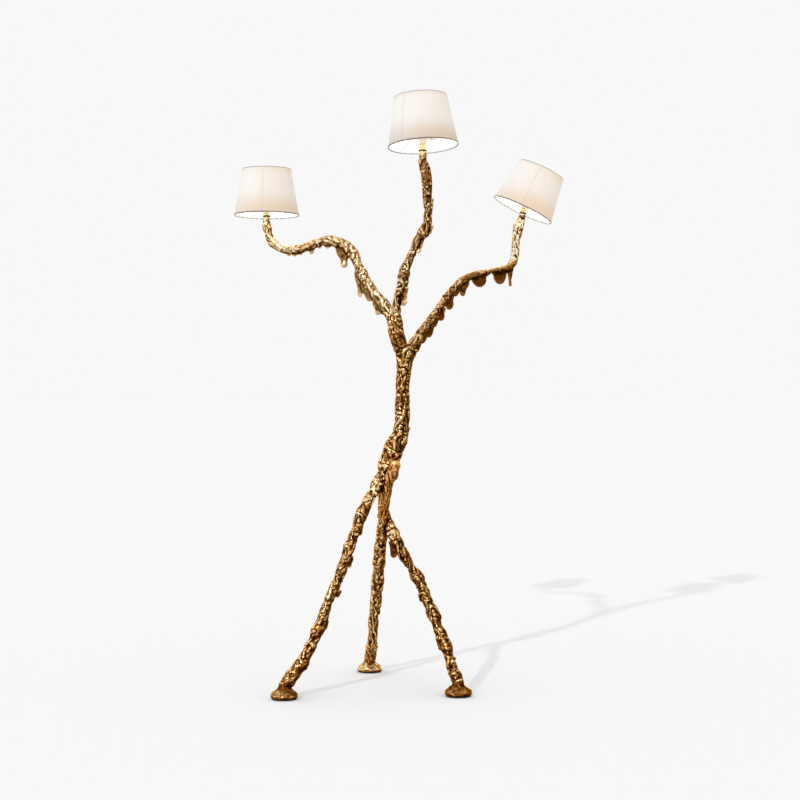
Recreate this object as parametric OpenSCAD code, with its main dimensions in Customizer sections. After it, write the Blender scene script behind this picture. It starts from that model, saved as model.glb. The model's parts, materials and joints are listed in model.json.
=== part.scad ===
// Floor lamp: three cast legs, a slender trunk and three wandering arms that look like metal
// running down and dripping. Each arm carries a lampholder, a bulb and a cloth shade that
// turns about the lampholder and tilts on two pivots.
// Millimetres, +Z up. The origin is on the floor, under the middle of the lamp's box.

/* [Castings] */
// Depth of the molten furrows, as a share of the limb's radius
furrow = 0.1; // [0:0.01:0.14]
// Metal added to the radius of every limb
limb_extra = 0; // [-1:0.5:3]
// Metal added to the radius of every drip
drip_extra = 0; // [-1:0.5:3]
// Diameter of the channel that a lead runs in
wireway_d = 9; // [8:0.5:10]
// Diameter of the channel in the trunk that holds three leads
trunk_bore_d = 16; // [15:0.5:18]

/* [Sockets between castings] */
// Diameter of the plug on the end of a leg or an arm
plug_d = 17; // [15:0.5:18]
// Length of that plug
plug_l = 20; // [14:1:24]
// Diameter of the wiring chamber in the foot of the trunk
chamber_d = 30; // [29:0.5:31]
// Depth of the wiring chamber
chamber_h = 42; // [38:1:44]
// Height of the hub's spigot inside the chamber
spigot_h = 14; // [10:1:16]
// Clearance round a plug, a nipple or a gland
fit = 0.15; // [0.1:0.05:0.25]
// Diameter of the grub screws that lock the plugs
grub_d = 5; // [4:0.5:6]
// Length of a grub screw
grub_l = 6; // [5:0.5:8]

/* [Feet] */
// Diameter of a foot
foot_d = 78; // [60:1:90]
// Height of a foot's round edge
foot_edge = 13; // [9:0.5:16]
// Height at which a foot has narrowed to its leg
foot_h = 36; // [30:1:44]
// Diameter of the pad under a foot
pad_d = 70; // [40:1:72]
// Thickness of the pad
pad_t = 3; // [2:0.5:5]
// Left foot, to the right of the trunk's axis
left_foot_x = -326; // [-360:2:-300]
// Left foot, behind the trunk's axis
left_foot_y = -148; // [-170:2:-130]
// Right foot, to the right of the trunk's axis
right_foot_x = 166; // [150:2:180]
// Right foot, behind the trunk's axis
right_foot_y = -104; // [-120:2:-90]
// Rear foot, to the right of the trunk's axis
rear_foot_x = -94; // [-110:2:-80]
// Rear foot, behind the trunk's axis
rear_foot_y = 308; // [290:2:330]

/* [Cable inlet] */
// Height of the inlet above the floor, in the back of the rear leg
inlet_z = 90; // [70:2:110]
// Bore of the gland
gland_bore_d = 7; // [6:0.5:8]
// Diameter of the gland's threaded body
gland_d = 12; // [10:0.5:13]
// Diameter of the gland's flange
flange_d = 18; // [16:0.5:22]
// Thickness of the gland's flange
flange_t = 4; // [2:0.5:6]
// Length of the gland's threaded body
gland_l = 12; // [8:1:14]

/* [Leads] */
// Diameter of the lead to a lampholder
lead_d = 4.5; // [3.5:0.5:5]
// Diameter of the supply lead inside the rear leg
supply_d = 6.5; // [5:0.5:7]
// Width of the terminal block
block_w = 22; // [16:1:24]
// Depth of the terminal block
block_depth = 14; // [10:1:15]
// Height of the terminal block
block_h = 16; // [12:1:18]

/* [Necks] */
// Outer diameter of the brass neck
neck_d = 17.5; // [15:0.5:20]
// Diameter of the neck's top ring
neck_ring_d = 20; // [18:0.5:22]
// Height of that ring
neck_ring_h = 3; // [2:0.5:4]
// Diameter of the collar on top of the casting
collar_d = 24; // [20:0.5:28]
// Height of the collar
collar_h = 4; // [2:0.5:5]
// Outer diameter of the threaded nipple
nipple_d = 10; // [9:0.5:11]
// Bore of the threaded nipple
nipple_bore_d = 7; // [6:0.5:7.5]
// Depth of the nipple in the casting
nipple_in = 12; // [8:1:14]
// Left casting's top, below the opening of its shade
left_drop = 4; // [3:1:14]
// Centre casting's top, below the opening of its shade
centre_drop = 14; // [4:1:18]
// Right casting's top, below the opening of its shade
right_drop = 9; // [4:1:16]

/* [Lampholders] */
// Diameter of a lampholder's lower cap
cap_d = 22; // [21:0.5:24]
// Height of the lower cap
cap_h = 13; // [12:0.5:15]
// Diameter of the flange that the shade's fitter rests on
holder_flange_d = 34; // [32:1:38]
// Thickness of that flange
holder_flange_t = 3; // [2:0.5:4]
// Diameter of the threaded upper body
thread_d = 28; // [27:0.5:28.5]
// Height of the threaded upper body
thread_h = 27; // [24:1:30]
// Bore of the upper body
socket_d = 17.4; // [16.5:0.1:18]
// Outer diameter of the retaining ring
ring_d = 42; // [38:1:44]
// Height of the retaining ring
ring_h = 6; // [4:0.5:8]

/* [Bulbs] */
// Diameter of the bulb's screw cap
bulb_cap_d = 13.9; // [13.5:0.1:14]
// Height of the screw cap
bulb_cap_h = 21; // [19:0.5:23]
// Diameter of the glass globe
globe_d = 45; // [40:1:48]
// Height of the globe's centre above the screw cap
globe_rise = 33; // [31:1:37]
// Thickness of the glass
glass_t = 0.8; // [0.6:0.1:1]

/* [Shades] */
// Diameter of a shade's lower opening
shade_low_d = 200; // [180:2:220]
// Diameter of a shade's upper opening
shade_top_d = 152; // [140:2:170]
// Height of a shade
shade_h = 142; // [120:2:160]
// Thickness of the cloth and its backing
cloth_t = 0.9; // [0.6:0.1:1.5]
// Diameter of the frame's wire rings
wire_d = 3; // [2.8:0.1:3.5]
// Diameter of the frame's spokes
spoke_d = 2.6; // [2:0.1:2.7]
// Height of the pivots above the lower opening
pivot_rise = 30; // [29:1:36]
// Spokes in a shade's frame
spokes = 3; // [3:1:6]
// Outer diameter of the pivot band
band_d = 99; // [98:1:112]
// Height of the pivot band
band_h = 10; // [8:1:12]
// Thickness of the pivot band and of the fitter
band_t = 1.6; // [1.2:0.1:2]
// Diameter of a pivot pin
pin_d = 3; // [2.5:0.1:4]
// Diameter of a pivot pin's heads
pin_head_d = 6; // [5:0.5:7]
// Fitter's middle plane, below the pivots
fitter_drop = 5; // [4.5:0.5:6]

/* [Pivots of the shades, from the foot of the trunk's axis] */
// Left pivot, to the right
left_x = -410; // [-430:2:-400]
// Left pivot, behind
left_y = 260; // [250:2:280]
// Left pivot, above the floor
left_z = 1440; // [1430:2:1470]
// Centre pivot, to the right
centre_x = 64; // [56:2:72]
// Centre pivot, behind
centre_y = -148; // [-156:2:-144]
// Centre pivot, above the floor
centre_z = 1588; // [1580:2:1620]
// Right pivot, to the right
right_x = 402; // [394:2:412]
// Right pivot, behind
right_y = 420; // [412:2:430]
// Right pivot, above the floor
right_z = 1472; // [1466:2:1500]
// Lean of the right lampholder, in degrees
right_holder_lean = 17; // [12:1:20]
// Lean of the right shade, in degrees
right_shade_lean = 25.5; // [20:0.5:30]
// Lean of the centre shade, in degrees
centre_shade_lean = 5; // [0:0.5:8]
// Compass direction of the centre shade's lean, in degrees from +X
centre_lean_aim = 132; // [0:2:180]

/* [Hidden] */
side = ["left", "centre", "right"];
own_parts = ["arm", "lamp_lead", "collar", "neck", "lampholder", "holder_contacts",
    "retaining_ring", "bulb_cap", "bulb_glass", "bulb_filament", "shade_fitter", "shade_pins",
    "shade_frame", "shade_rings", "shade_cloth"];

gold = [0.78, 0.6, 0.3];
brass = [0.85, 0.7, 0.38];
cream = [0.94, 0.9, 0.8];
steel = [0.72, 0.72, 0.7];
nudge = 0.01;
// Length of the drill's way in to a grub screw
drill_l = 30;

// Lean of each lampholder and each shade, and the direction that they lean in
holder_lean = [0, 0, right_holder_lean];
shade_lean = [0, centre_shade_lean, right_shade_lean];
aim = [0, centre_lean_aim, 0];
pivot = [[left_x, left_y, left_z], [centre_x, centre_y, centre_z], [right_x, right_y, right_z]];
function leaning(turn, lean) = [sin(lean) * cos(turn), sin(lean) * sin(turn), cos(lean)];
holder_axis = [for (i = [0:2]) leaning(aim[i], holder_lean[i])];
shade_axis = [for (i = [0:2]) leaning(aim[i], shade_lean[i])];

// Heights along a lampholder's axis, from its pivots
flange_z = -fitter_drop - band_t / 2 - 0.2;
cap_z = flange_z - holder_flange_t;
holder_z = cap_z - cap_h;
contact_z = flange_z;
strip_z = contact_z - 2;
bulb_z = contact_z + bulb_cap_h;
globe_z = bulb_z + globe_rise;
drop = [left_drop, centre_drop, right_drop];
tip_z = [for (i = [0:2]) -pivot_rise - drop[i]];
tip_r = 9.5;
stem_l = 24;
tip = [for (i = [0:2]) pivot[i] + tip_z[i] * holder_axis[i]];
stem = [for (i = [0:2]) tip[i] - stem_l * holder_axis[i]];

// The box of the lamp ends at the rims of the shades, so its middle follows from them
function rims(i) = [
    [pivot[i] - pivot_rise * shade_axis[i], shade_low_d / 2],
    [pivot[i] + (shade_h - pivot_rise) * shade_axis[i], shade_top_d / 2]];
function reach(i, k, way) = max([for (rim = rims(i))
    way * rim[0][k] + rim[1] * sqrt(1 - pow(shade_axis[i][k], 2))]);
function middle(k) = (max([for (i = [0:2]) reach(i, k, 1)])
    - max([for (i = [0:2]) reach(i, k, -1)])) / 2;
home = [-middle(0), -middle(1), 0];

foot_left = [left_foot_x, left_foot_y];
foot_right = [right_foot_x, right_foot_y];
foot_rear = [rear_foot_x, rear_foot_y];
ankle_r = 17;
function ankle(foot) = [foot[0], foot[1], foot_h, ankle_r];

// Centre lines from the trunk's axis: x, y, z and the radius there
spine = [
    ankle(foot_rear), [-86, 264, 90, 15.5], [-82, 226, 160, 15.5], [-72, 190, 236, 16],
    [-66, 152, 316, 16.5], [-60, 118, 390, 16], [-54, 86, 452, 15.5], [-50, 58, 512, 14.5],
    [-46, 32, 568, 17], [-36, 10, 628, 26], [-30, 0, 666, 27], [-16, 0, 706, 27],
    [0, 0, 744, 23.5], [6, 0, 800, 20.5], [8, 0, 872, 19.5], [12, 0, 936, 21],
    [16, 4, 982, 26], [18, 4, 1002, 20]];
hub = 10;
chamber_top = 11;
fork = 16;
left_leg = [
    [-34, 0, 650, 22], [-60, -4, 608, 17], [-96, -18, 544, 16], [-116, -30, 496, 15],
    [-138, -40, 442, 14.5], [-156, -54, 388, 15], [-180, -70, 324, 13.5], [-208, -88, 260, 12],
    [-228, -102, 202, 15], [-254, -116, 144, 16], [-286, -130, 90, 15.5], ankle(foot_left)];
right_leg = [
    [-48, 58, 518, 12], [-34, 76, 478, 13.5], [-14, 70, 436, 15], [6, 54, 396, 15.5],
    [34, 40, 350, 14], [60, 20, 308, 14.5], [80, 0, 260, 16], [102, -22, 214, 16],
    [118, -42, 164, 14.5], [136, -62, 124, 15], [150, -80, 78, 15], ankle(foot_right)];
left_arm = [
    [12, 0, 972, 16], [-8, 4, 1012, 15.5], [-18, 14, 1050, 15], [-30, 24, 1094, 15],
    [-56, 40, 1134, 15], [-92, 60, 1182, 15], [-120, 80, 1234, 14], [-142, 94, 1282, 13.5],
    [-180, 116, 1312, 13.5], [-222, 134, 1320, 14], [-266, 160, 1310, 13],
    [-312, 184, 1298, 11.5], [-360, 214, 1304, 10.5], [-396, 242, 1334, 12]];
centre_arm = [
    [14, 0, 972, 16], [2, -8, 1012, 15.5], [-4, -16, 1052, 14], [-10, -24, 1096, 12.5],
    [-8, -32, 1134, 12], [6, -42, 1172, 14.5], [14, -52, 1214, 13.5], [32, -66, 1260, 10.5],
    [48, -76, 1296, 12], [72, -88, 1330, 15], [80, -102, 1370, 12.5], [78, -116, 1416, 12],
    [76, -130, 1464, 12.5], [70, -142, 1500, 12.5]];
right_arm = [
    [16, 0, 968, 17], [32, 14, 998, 16], [52, 30, 1024, 14.5], [88, 60, 1074, 13.5],
    [122, 94, 1120, 13], [158, 130, 1170, 12.5], [196, 170, 1206, 12.5], [246, 214, 1226, 11],
    [298, 264, 1240, 11], [340, 306, 1252, 12.5], [358, 342, 1292, 13], [364, 370, 1342, 13],
    [374, 394, 1386, 14.5]];
bare_arm = [left_arm, centre_arm, right_arm];
arm_joint = [3, 3, 2];
leg_joint = 2;
// Where the pivots are for the stations above. When a pivot moves, the stations of its arm
// follow, less and less towards the trunk
drawn_pivot = [[-410, 260, 1440], [64, -148, 1588], [402, 420, 1472]];
function followed(i) = let (line = bare_arm[i], count = len(line))
    [for (k = [0:count - 1]) let (share = pow(max(k - arm_joint[i], 0) / (count - arm_joint[i]), 2))
        line[k] + concat(share * (pivot[i] - drawn_pivot[i]), [0])];
arm_line = [for (i = [0:2])
    concat(followed(i), [concat(stem[i], [11]), concat(tip[i], [tip_r])])];

// Drips: place along the centre line, offset to the right, length, radius at the top and tip,
// and how far the top spreads along the limb to each side
trunk_drips = [[11.2, -20, 30, 9, 6, 0], [12.4, 16, 34, 8, 5, 0], [13.6, 12, 40, 7, 4.5, 0],
    [14.6, -12, 44, 7, 5, 0], [15.4, 14, 46, 8, 5, 0], [15.9, -18, 34, 9, 6, 0],
    [16.3, 20, 26, 10, 7, 0], [17, 3, 6, 10, 9, 0]];
// The trunk also carries these, on its stretches of the left and the right arm
fork_drips = [[2, -4, 44, 10, 6, 2], [1.5, 8, 28, 10, 7.5, 0]];
arm_drips = [
    [[4, 8, 36, 9, 6.5, 3], [5, -2, 36, 11, 7, 6], [5.8, -8, 78, 8, 5, 3], [7.7, 0, 66, 11, 9, 13],
     [8.9, 2, 22, 10, 7, 7], [10, 0, 30, 9, 6, 7], [11.2, 0, 20, 8, 6, 6], [12.8, -6, 16, 9, 5, 3]],
    [[4.9, 4, 54, 11, 9, 2], [6.2, -8, 20, 9, 6, 2], [8.2, 2, 40, 8, 6, 3], [9.3, 9, 24, 9, 7, 2],
     [11, 12, 32, 6, 4.5, 0], [12.4, -8, 30, 6, 4.5, 0]],
    [[2.9, 4, 33, 9, 7, 3], [3.6, 4, 30, 8, 6, 4], [4.6, 0, 45, 9, 6.5, 5], [5.8, 0, 45, 8, 6, 10],
     [6.8, 0, 37, 9, 8, 15], [8.2, 0, 44, 9, 10, 16], [9, 0, 60, 7, 5, 1],
     [11.6, -9, 24, 7, 5, 0]]];
left_leg_drips = [[3.4, 8, 24, 8, 5, 3], [4.9, 10, 34, 8, 5, 2], [6.4, 13, 22, 8, 6, 3],
    [7.8, 10, 26, 8, 5, 2], [8.8, -8, 20, 9, 6, 2], [9.8, 12, 24, 8, 6, 2]];
right_leg_drips = [[2.7, 7, 14, 10, 6, 3], [3, -12, 32, 7, 5, 2], [5.6, -10, 26, 8, 5, 2],
    [6.6, -10, 24, 8, 6, 2], [8.4, -10, 26, 8, 5, 2], [9.4, 10, 20, 8, 6, 2]];
rear_leg_drips = [[9.6, 22, 18, 9, 6, 0], [8.4, -12, 30, 10, 7, 3], [6.8, 12, 24, 8, 5, 2],
    [5.2, -10, 30, 8, 5, 2], [3.8, 10, 26, 8, 5, 2], [2.4, -10, 24, 8, 6, 2]];

// Catmull-Rom curve through the stations of a centre line
function curve(line, u) = let (last = len(line) - 1, i = min(floor(u), last - 1), t = u - i,
    a = line[max(i - 1, 0)], b = line[i], c = line[i + 1], d = line[min(i + 2, last)])
    0.5 * (2 * b + (c - a) * t + (2 * a - 5 * b + 4 * c - d) * t * t
    + (3 * b - a - 3 * c + d) * t * t * t);
function spot(line, u) = let (q = curve(line, u)) [q[0], q[1], q[2]];
function unit(v) = v / norm(v);
function heading(line, u) =
    unit(spot(line, min(u + 0.02, len(line) - 1)) - spot(line, max(u - 0.02, 0)));
function across(t) = unit(cross([0, 1, 0], t));

// Two sets of furrows that wind round the limb in opposite senses, and slow swellings
function melt(turn, u) = 1 + furrow * (0.6 * sin(2 * turn + 130 * u)
    + 0.5 * sin(3 * turn - 95 * u + 40) + 0.5 * sin(250 * u + turn));
function outline_at(line, u, sides, r) = let (q = curve(line, u), t = heading(line, u),
    a = across(t), b = cross(t, a))
    [for (k = [0:sides - 1]) let (turn = 360 * k / sides,
        size = r > 0 ? r : (q[3] + limb_extra) * melt(turn, u))
        [q[0], q[1], q[2]] + size * (cos(turn) * a + sin(turn) * b)];

// Skin of a limb between two places on its centre line; r = 0 takes the line's own radius
module sweep(line, from, to, sides = 12, rings = 2.6, r = 0) {
    steps = ceil((to - from) * rings);
    places = [for (i = [0:steps]) from + (to - from) * i / steps];
    skin = [for (u = places) each outline_at(line, u, sides, r)];
    count = len(skin);
    points = concat(skin, [spot(line, from), spot(line, to)]);
    walls = [for (i = [0:steps - 1]) for (k = [0:sides - 1])
        let (p = i * sides + k, q = i * sides + (k + 1) % sides)
        each [[p, p + sides, q + sides], [p, q + sides, q]]];
    foot = [for (k = [0:sides - 1]) [count, k, (k + 1) % sides]];
    head = [for (k = [0:sides - 1])
        [count + 1, count - sides + (k + 1) % sides, count - sides + k]];
    polyhedron(points, concat(walls, foot, head));
}

// A pair of balls, or one, below a drip's top
module drip_end(top, way, depth, r, spread) {
    for (side = spread > 0 ? [-1, 1] : [0])
        translate(top + side * spread * way - [0, 0, depth]) sphere(r + drip_extra, $fn = 8);
}
module drip(line, d) {
    top = spot(line, d[0]) + [d[1], 0, 0];
    slope = heading(line, d[0]);
    way = unit([slope[0], slope[1], 0]);
    length = d[2];
    waist_r = 0.45 * (d[3] + d[4]);
    spread = d[5];
    hull() {
        drip_end(top, way, 0, d[3], spread);
        drip_end(top, way, length * 0.5, waist_r, spread * 0.5);
    }
    hull() {
        drip_end(top, way, length * 0.5, waist_r, spread * 0.5);
        drip_end(top, way, length - d[4], d[4], spread > 12 ? spread * 0.25 : 0);
    }
}
module drips(line, list) {
    for (d = list) drip(line, d);
}

// Points local +Z along a direction
module along(place, way) {
    translate(place) rotate([0, acos(way[2]), atan2(way[1], way[0])]) children();
}
module plug(line, joint, extra = 0) {
    along(spot(line, joint) + heading(line, joint), -heading(line, joint))
        cylinder(d = plug_d + 2 * extra, h = plug_l + 1 + extra, $fn = 48);
}
// Axis of the grub screw of a socket: it comes in from behind, halfway down the plug
module at_grub(line, joint, depth) {
    way = heading(line, joint);
    along(spot(line, joint) - depth * way, unit(cross(way, cross([0, 1, 0], way)))) children();
}
module grub_hole(line, joint) {
    at_grub(line, joint, plug_l / 2)
        translate([0, 0, plug_d / 2 - 1]) cylinder(d = grub_d + 2 * fit, h = drill_l, $fn = 24);
}
module grub(line, joint, depth, start) {
    at_grub(line, joint, depth) translate([0, 0, start]) difference() {
        cylinder(d = grub_d, h = grub_l, $fn = 32);
        translate([0, 0, grub_l - 2.5]) cylinder(d = grub_d * 0.55, h = 3, $fn = 6);
    }
}

// Leads leave the terminal block side by side and part at the fork
lead_angle = [170, 290, 50];
function beside(u, turn) = let (t = heading(spine, u), a = across(t), b = cross(t, a))
    spot(spine, u) + (lead_d + 1) / sqrt(3) * (cos(turn) * a + sin(turn) * b);
block_foot = spot(spine, hub) + spigot_h * heading(spine, hub);
block_head = block_foot + block_h * heading(spine, hub);
function from_block(i) = let (t = heading(spine, hub), a = across(t), b = cross(t, a))
    block_head + (lead_d + 1) / sqrt(3) * (cos(lead_angle[i]) * a + sin(lead_angle[i]) * b);
function past(line, first) = [for (k = [first:len(line) - 1]) [line[k][0], line[k][1], line[k][2]]];
lead_line = [for (i = [0:2]) concat(
    [from_block(i)], [for (u = [12:15.5]) beside(u, lead_angle[i])],
    past(arm_line[i], 1), [pivot[i] + strip_z * holder_axis[i]])];

// The supply lead runs from behind the gland, up the rear leg and into the terminal block
inlet = [-88, 258, inlet_z];
boss_l = 30;
supply_route = concat(
    [for (bend = [[0, 16, 0], [0, 5, 2], [0, -3, 10], [3, -11, 30]]) inlet + bend],
    [for (u = [2:hub]) spot(spine, u)], [block_foot]);

module channel(line, r) {
    sweep(line, 0, len(line) - 1, 8, 1.5, r);
}
module lead_channels(which) {
    for (i = which) channel(lead_line[i], wireway_d / 2);
}
module supply_channel() {
    channel(supply_route, wireway_d / 2);
}

module foot(place) {
    edge_r = foot_d / 2;
    translate([place[0], place[1], pad_t]) rotate_extrude($fn = 30)
        polygon([[0, 0], [edge_r - 3, 0], [edge_r, 3], [edge_r, foot_edge - 5],
            [edge_r - 4, foot_edge], [edge_r * 0.72, foot_edge + 4],
            [(edge_r * 0.72 + ankle_r) / 2, (foot_edge + foot_h) / 2], [ankle_r, foot_h],
            [0, foot_h + 6]]);
}
module foot_pad(place) {
    color([0.12, 0.1, 0.09]) translate(home) translate([place[0], place[1], 0])
        cylinder(d = pad_d, h = pad_t, $fn = 96);
}

module chamber() {
    along(spot(spine, hub), heading(spine, hub))
        translate([0, 0, -nudge]) cylinder(d = chamber_d, h = chamber_h, $fn = 64);
}
module trunk() {
    color(gold) translate(home) difference() {
        union() {
            sweep(spine, hub, fork + 1, 14, 2.6);
            for (i = [0:2]) sweep(arm_line[i], 0, arm_joint[i]);
            drips(spine, trunk_drips);
            drip(arm_line[0], fork_drips[0]);
            drip(arm_line[2], fork_drips[1]);
        }
        chamber();
        sweep(spine, chamber_top - 0.2, fork, 10, 1.5, trunk_bore_d / 2);
        lead_channels([0:2]);
        for (i = [0:2]) {
            plug(arm_line[i], arm_joint[i], fit);
            grub_hole(arm_line[i], arm_joint[i]);
        }
        hub_grub_hole();
    }
}
module hub_grub_hole() {
    at_grub(spine, hub, -spigot_h / 2)
        translate([0, 0, chamber_d / 2 - 1]) cylinder(d = grub_d + 2 * fit, h = drill_l, $fn = 24);
}

module gland_boss() {
    translate(inlet) rotate([-90, 0, 0]) cylinder(d = flange_d + 4, h = boss_l, $fn = 36);
}
module leg_rear() {
    color(gold) translate(home) difference() {
        union() {
            sweep(spine, 0, hub, 14, 2.6);
            sweep(left_leg, 0, leg_joint);
            sweep(right_leg, 0, leg_joint);
            along(spot(spine, hub), heading(spine, hub))
                translate([0, 0, -1]) cylinder(d = chamber_d - 2 * fit, h = spigot_h + 1, $fn = 64);
            drips(spine, rear_leg_drips);
            hull() {
                translate(spot(left_leg, 1.4)) sphere(12, $fn = 12);
                translate(spot(spine, 8.3)) sphere(12, $fn = 12);
            }
            gland_boss();
            foot(foot_rear);
        }
        supply_channel();
        translate(inlet) rotate([-90, 0, 0])
            cylinder(d = gland_d + 2 * fit, h = boss_l + 1, $fn = 48);
        plug(left_leg, leg_joint, fit);
        plug(right_leg, leg_joint, fit);
        grub_hole(left_leg, leg_joint);
        grub_hole(right_leg, leg_joint);
        earth_hole();
    }
}
module leg(line, foot_place, list) {
    color(gold) translate(home) union() {
        sweep(line, leg_joint, len(line) - 1);
        plug(line, leg_joint);
        drips(line, list);
        foot(foot_place);
    }
}
module arm(i) {
    line = arm_line[i];
    last = len(line) - 1;
    color(gold) translate(home) difference() {
        union() {
            sweep(line, arm_joint[i], last - 0.1);
            plug(line, arm_joint[i]);
            drips(line, arm_drips[i]);
            along(tip[i] - 4 * holder_axis[i], holder_axis[i])
                cylinder(r = tip_r, h = 4, $fn = 32);
        }
        lead_channels([i]);
        along(tip[i] - nipple_in * holder_axis[i], holder_axis[i])
            cylinder(d = nipple_d + 2 * fit, h = nipple_in + 1, $fn = 48);
    }
}

module socket_screws() {
    color(steel) translate(home) {
        for (i = [0:2]) grub(arm_line[i], arm_joint[i], plug_l / 2, plug_d / 2 + fit);
        grub(left_leg, leg_joint, plug_l / 2, plug_d / 2 + fit);
        grub(right_leg, leg_joint, plug_l / 2, plug_d / 2 + fit);
        grub(spine, hub, -spigot_h / 2, chamber_d / 2);
    }
}
module on_spigot() {
    translate(home) along(block_foot, heading(spine, hub)) children();
}
module terminal_block() {
    color([0.9, 0.9, 0.86]) on_spigot() difference() {
        translate([-block_w / 2, -block_depth / 2, 0]) cube([block_w, block_depth, block_h]);
        for (k = [-1:1]) translate([k * block_w / 3, -block_depth, block_h * 0.55])
            rotate([-90, 0, 0]) cylinder(d = 3.5, h = block_depth, $fn = 24);
    }
}
earth_y = block_depth / 2 + 3.6;
module earth_hole() {
    along(block_foot, heading(spine, hub)) translate([0, earth_y, -8])
        cylinder(d = 3 + 2 * fit, h = 9, $fn = 24);
}
module earth_screw() {
    color(brass) on_spigot() translate([0, earth_y, 0]) {
        cylinder(d = 6, h = 0.8, $fn = 32);
        translate([0, 0, 0.8]) cylinder(d = 5.5, h = 2.4, $fn = 32);
        translate([0, 0, -7]) cylinder(d = 3, h = 7 + nudge, $fn = 32);
    }
}
module cable_gland() {
    color(brass) translate(home) translate(inlet + [0, boss_l, 0]) rotate([-90, 0, 0])
    difference() {
        union() {
            cylinder(d = flange_d, h = flange_t, $fn = 64);
            translate([0, 0, -gland_l]) cylinder(d = gland_d, h = gland_l + nudge, $fn = 64);
        }
        translate([0, 0, -gland_l - 1])
            cylinder(d = gland_bore_d, h = gland_l + flange_t + 2, $fn = 64);
    }
}
module supply_lead() {
    color([0.75, 0.7, 0.6]) translate(home)
        sweep(supply_route, 0, len(supply_route) - 1, 8, 1.5, supply_d / 2);
}
module lamp_lead(i) {
    color([0.75, 0.7, 0.6]) translate(home)
        sweep(lead_line[i], 0, len(lead_line[i]) - 1, 8, 1.5, lead_d / 2);
}

// Pieces of one light stand on its lampholder's axis, with the pivots along local Y
module on_holder(i) {
    translate(home) translate(pivot[i]) rotate([0, 0, aim[i]]) rotate([0, holder_lean[i], 0])
        children();
}
module on_shade(i) {
    translate(home) translate(pivot[i]) rotate([0, 0, aim[i]]) rotate([0, shade_lean[i], 0])
        children();
}
module tube(outer, inner, from, to) {
    translate([0, 0, from]) difference() {
        cylinder(d = outer, h = to - from, $fn = 96);
        translate([0, 0, -1]) cylinder(d = inner, h = to - from + 2, $fn = 96);
    }
}
nipple_top = holder_z + 8;
module tip_nipples() {
    color(steel) for (i = [0:2]) on_holder(i)
        tube(nipple_d, nipple_bore_d, tip_z[i] - nipple_in, nipple_top);
}
module collar(i) {
    color([0.45, 0.32, 0.16]) on_holder(i)
        tube(collar_d, nipple_d + 2 * fit, tip_z[i], tip_z[i] + collar_h);
}
module neck(i) {
    ring_z = holder_z - neck_ring_h;
    color(brass) on_holder(i) {
        tube(neck_d, nipple_d + 2 * fit, tip_z[i] + collar_h, ring_z + nudge);
        tube(neck_ring_d, nipple_d + 2 * fit, ring_z, holder_z);
    }
}
module lampholder(i) {
    color(cream) on_holder(i) difference() {
        union() {
            translate([0, 0, holder_z]) cylinder(d = cap_d, h = cap_h + nudge, $fn = 96);
            translate([0, 0, cap_z]) cylinder(d = holder_flange_d, h = holder_flange_t, $fn = 96);
            translate([0, 0, flange_z - nudge]) cylinder(d = thread_d, h = thread_h, $fn = 96);
        }
        translate([0, 0, holder_z - 1]) cylinder(d = nipple_d + 2 * fit, h = 10, $fn = 64);
        translate([0, 0, nipple_top]) cylinder(d = 14, h = thread_h, $fn = 64);
        translate([0, 0, strip_z]) cylinder(d = socket_d, h = thread_h + 4, $fn = 64);
    }
}
// Threaded shell, and a strip with a button that meets the bulb's contact
strip_w = 6;
module holder_contacts(i) {
    color(brass) on_holder(i) {
        tube(socket_d - 0.2, bulb_cap_d + 0.7, contact_z + 4, contact_z + 19);
        translate([0, 0, strip_z]) {
            difference() {
                cylinder(d = socket_d - 0.2, h = 0.8, $fn = 64);
                for (way = [-1, 1]) translate([way * (strip_w + socket_d) / 2, 0, 0])
                    cube([socket_d, 2 * socket_d, strip_w], center = true);
            }
            cylinder(d = 5, h = contact_z - strip_z, $fn = 48);
        }
    }
}
module retaining_ring(i) {
    low = flange_z + band_t + 0.6;
    color(cream) on_holder(i) difference() {
        translate([0, 0, low]) union() {
            cylinder(d1 = ring_d - 2, d2 = ring_d, h = 1, $fn = 96);
            translate([0, 0, 1 - nudge]) cylinder(d = ring_d, h = ring_h - 2 + 2 * nudge, $fn = 96);
            translate([0, 0, ring_h - 1]) cylinder(d1 = ring_d, d2 = ring_d - 2, h = 1, $fn = 96);
        }
        translate([0, 0, low - 1]) cylinder(d = thread_d + 2 * fit, h = ring_h + 2, $fn = 96);
        for (k = [0:11]) rotate([0, 0, 30 * k]) translate([ring_d / 2 + 1, 0, low - 1])
            cylinder(d = 4, h = ring_h + 2, $fn = 24);
    }
}

// Screw cap of a bulb: contact, insulator, rolled thread and skirt
thread_ribs = 4;
module bulb_cap(i) {
    r = bulb_cap_d / 2;
    low = contact_z + 3.4;
    high = bulb_z - 4;
    pitch = (high - low) / thread_ribs;
    color(steel) on_holder(i) rotate_extrude($fn = 96) polygon(concat(
        [[0, contact_z], [2.5, contact_z], [3, contact_z + 1.2], [r - 1.6, low - 0.4]],
        [for (k = [0:thread_ribs - 1]) each [[r - 0.7, low + k * pitch],
            [r, low + (k + 0.35) * pitch], [r, low + (k + 0.6) * pitch]]],
        [[r - 0.7, high], [r - 0.2, high + 0.6], [r - 0.2, bulb_z], [0, bulb_z]]));
}
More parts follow.
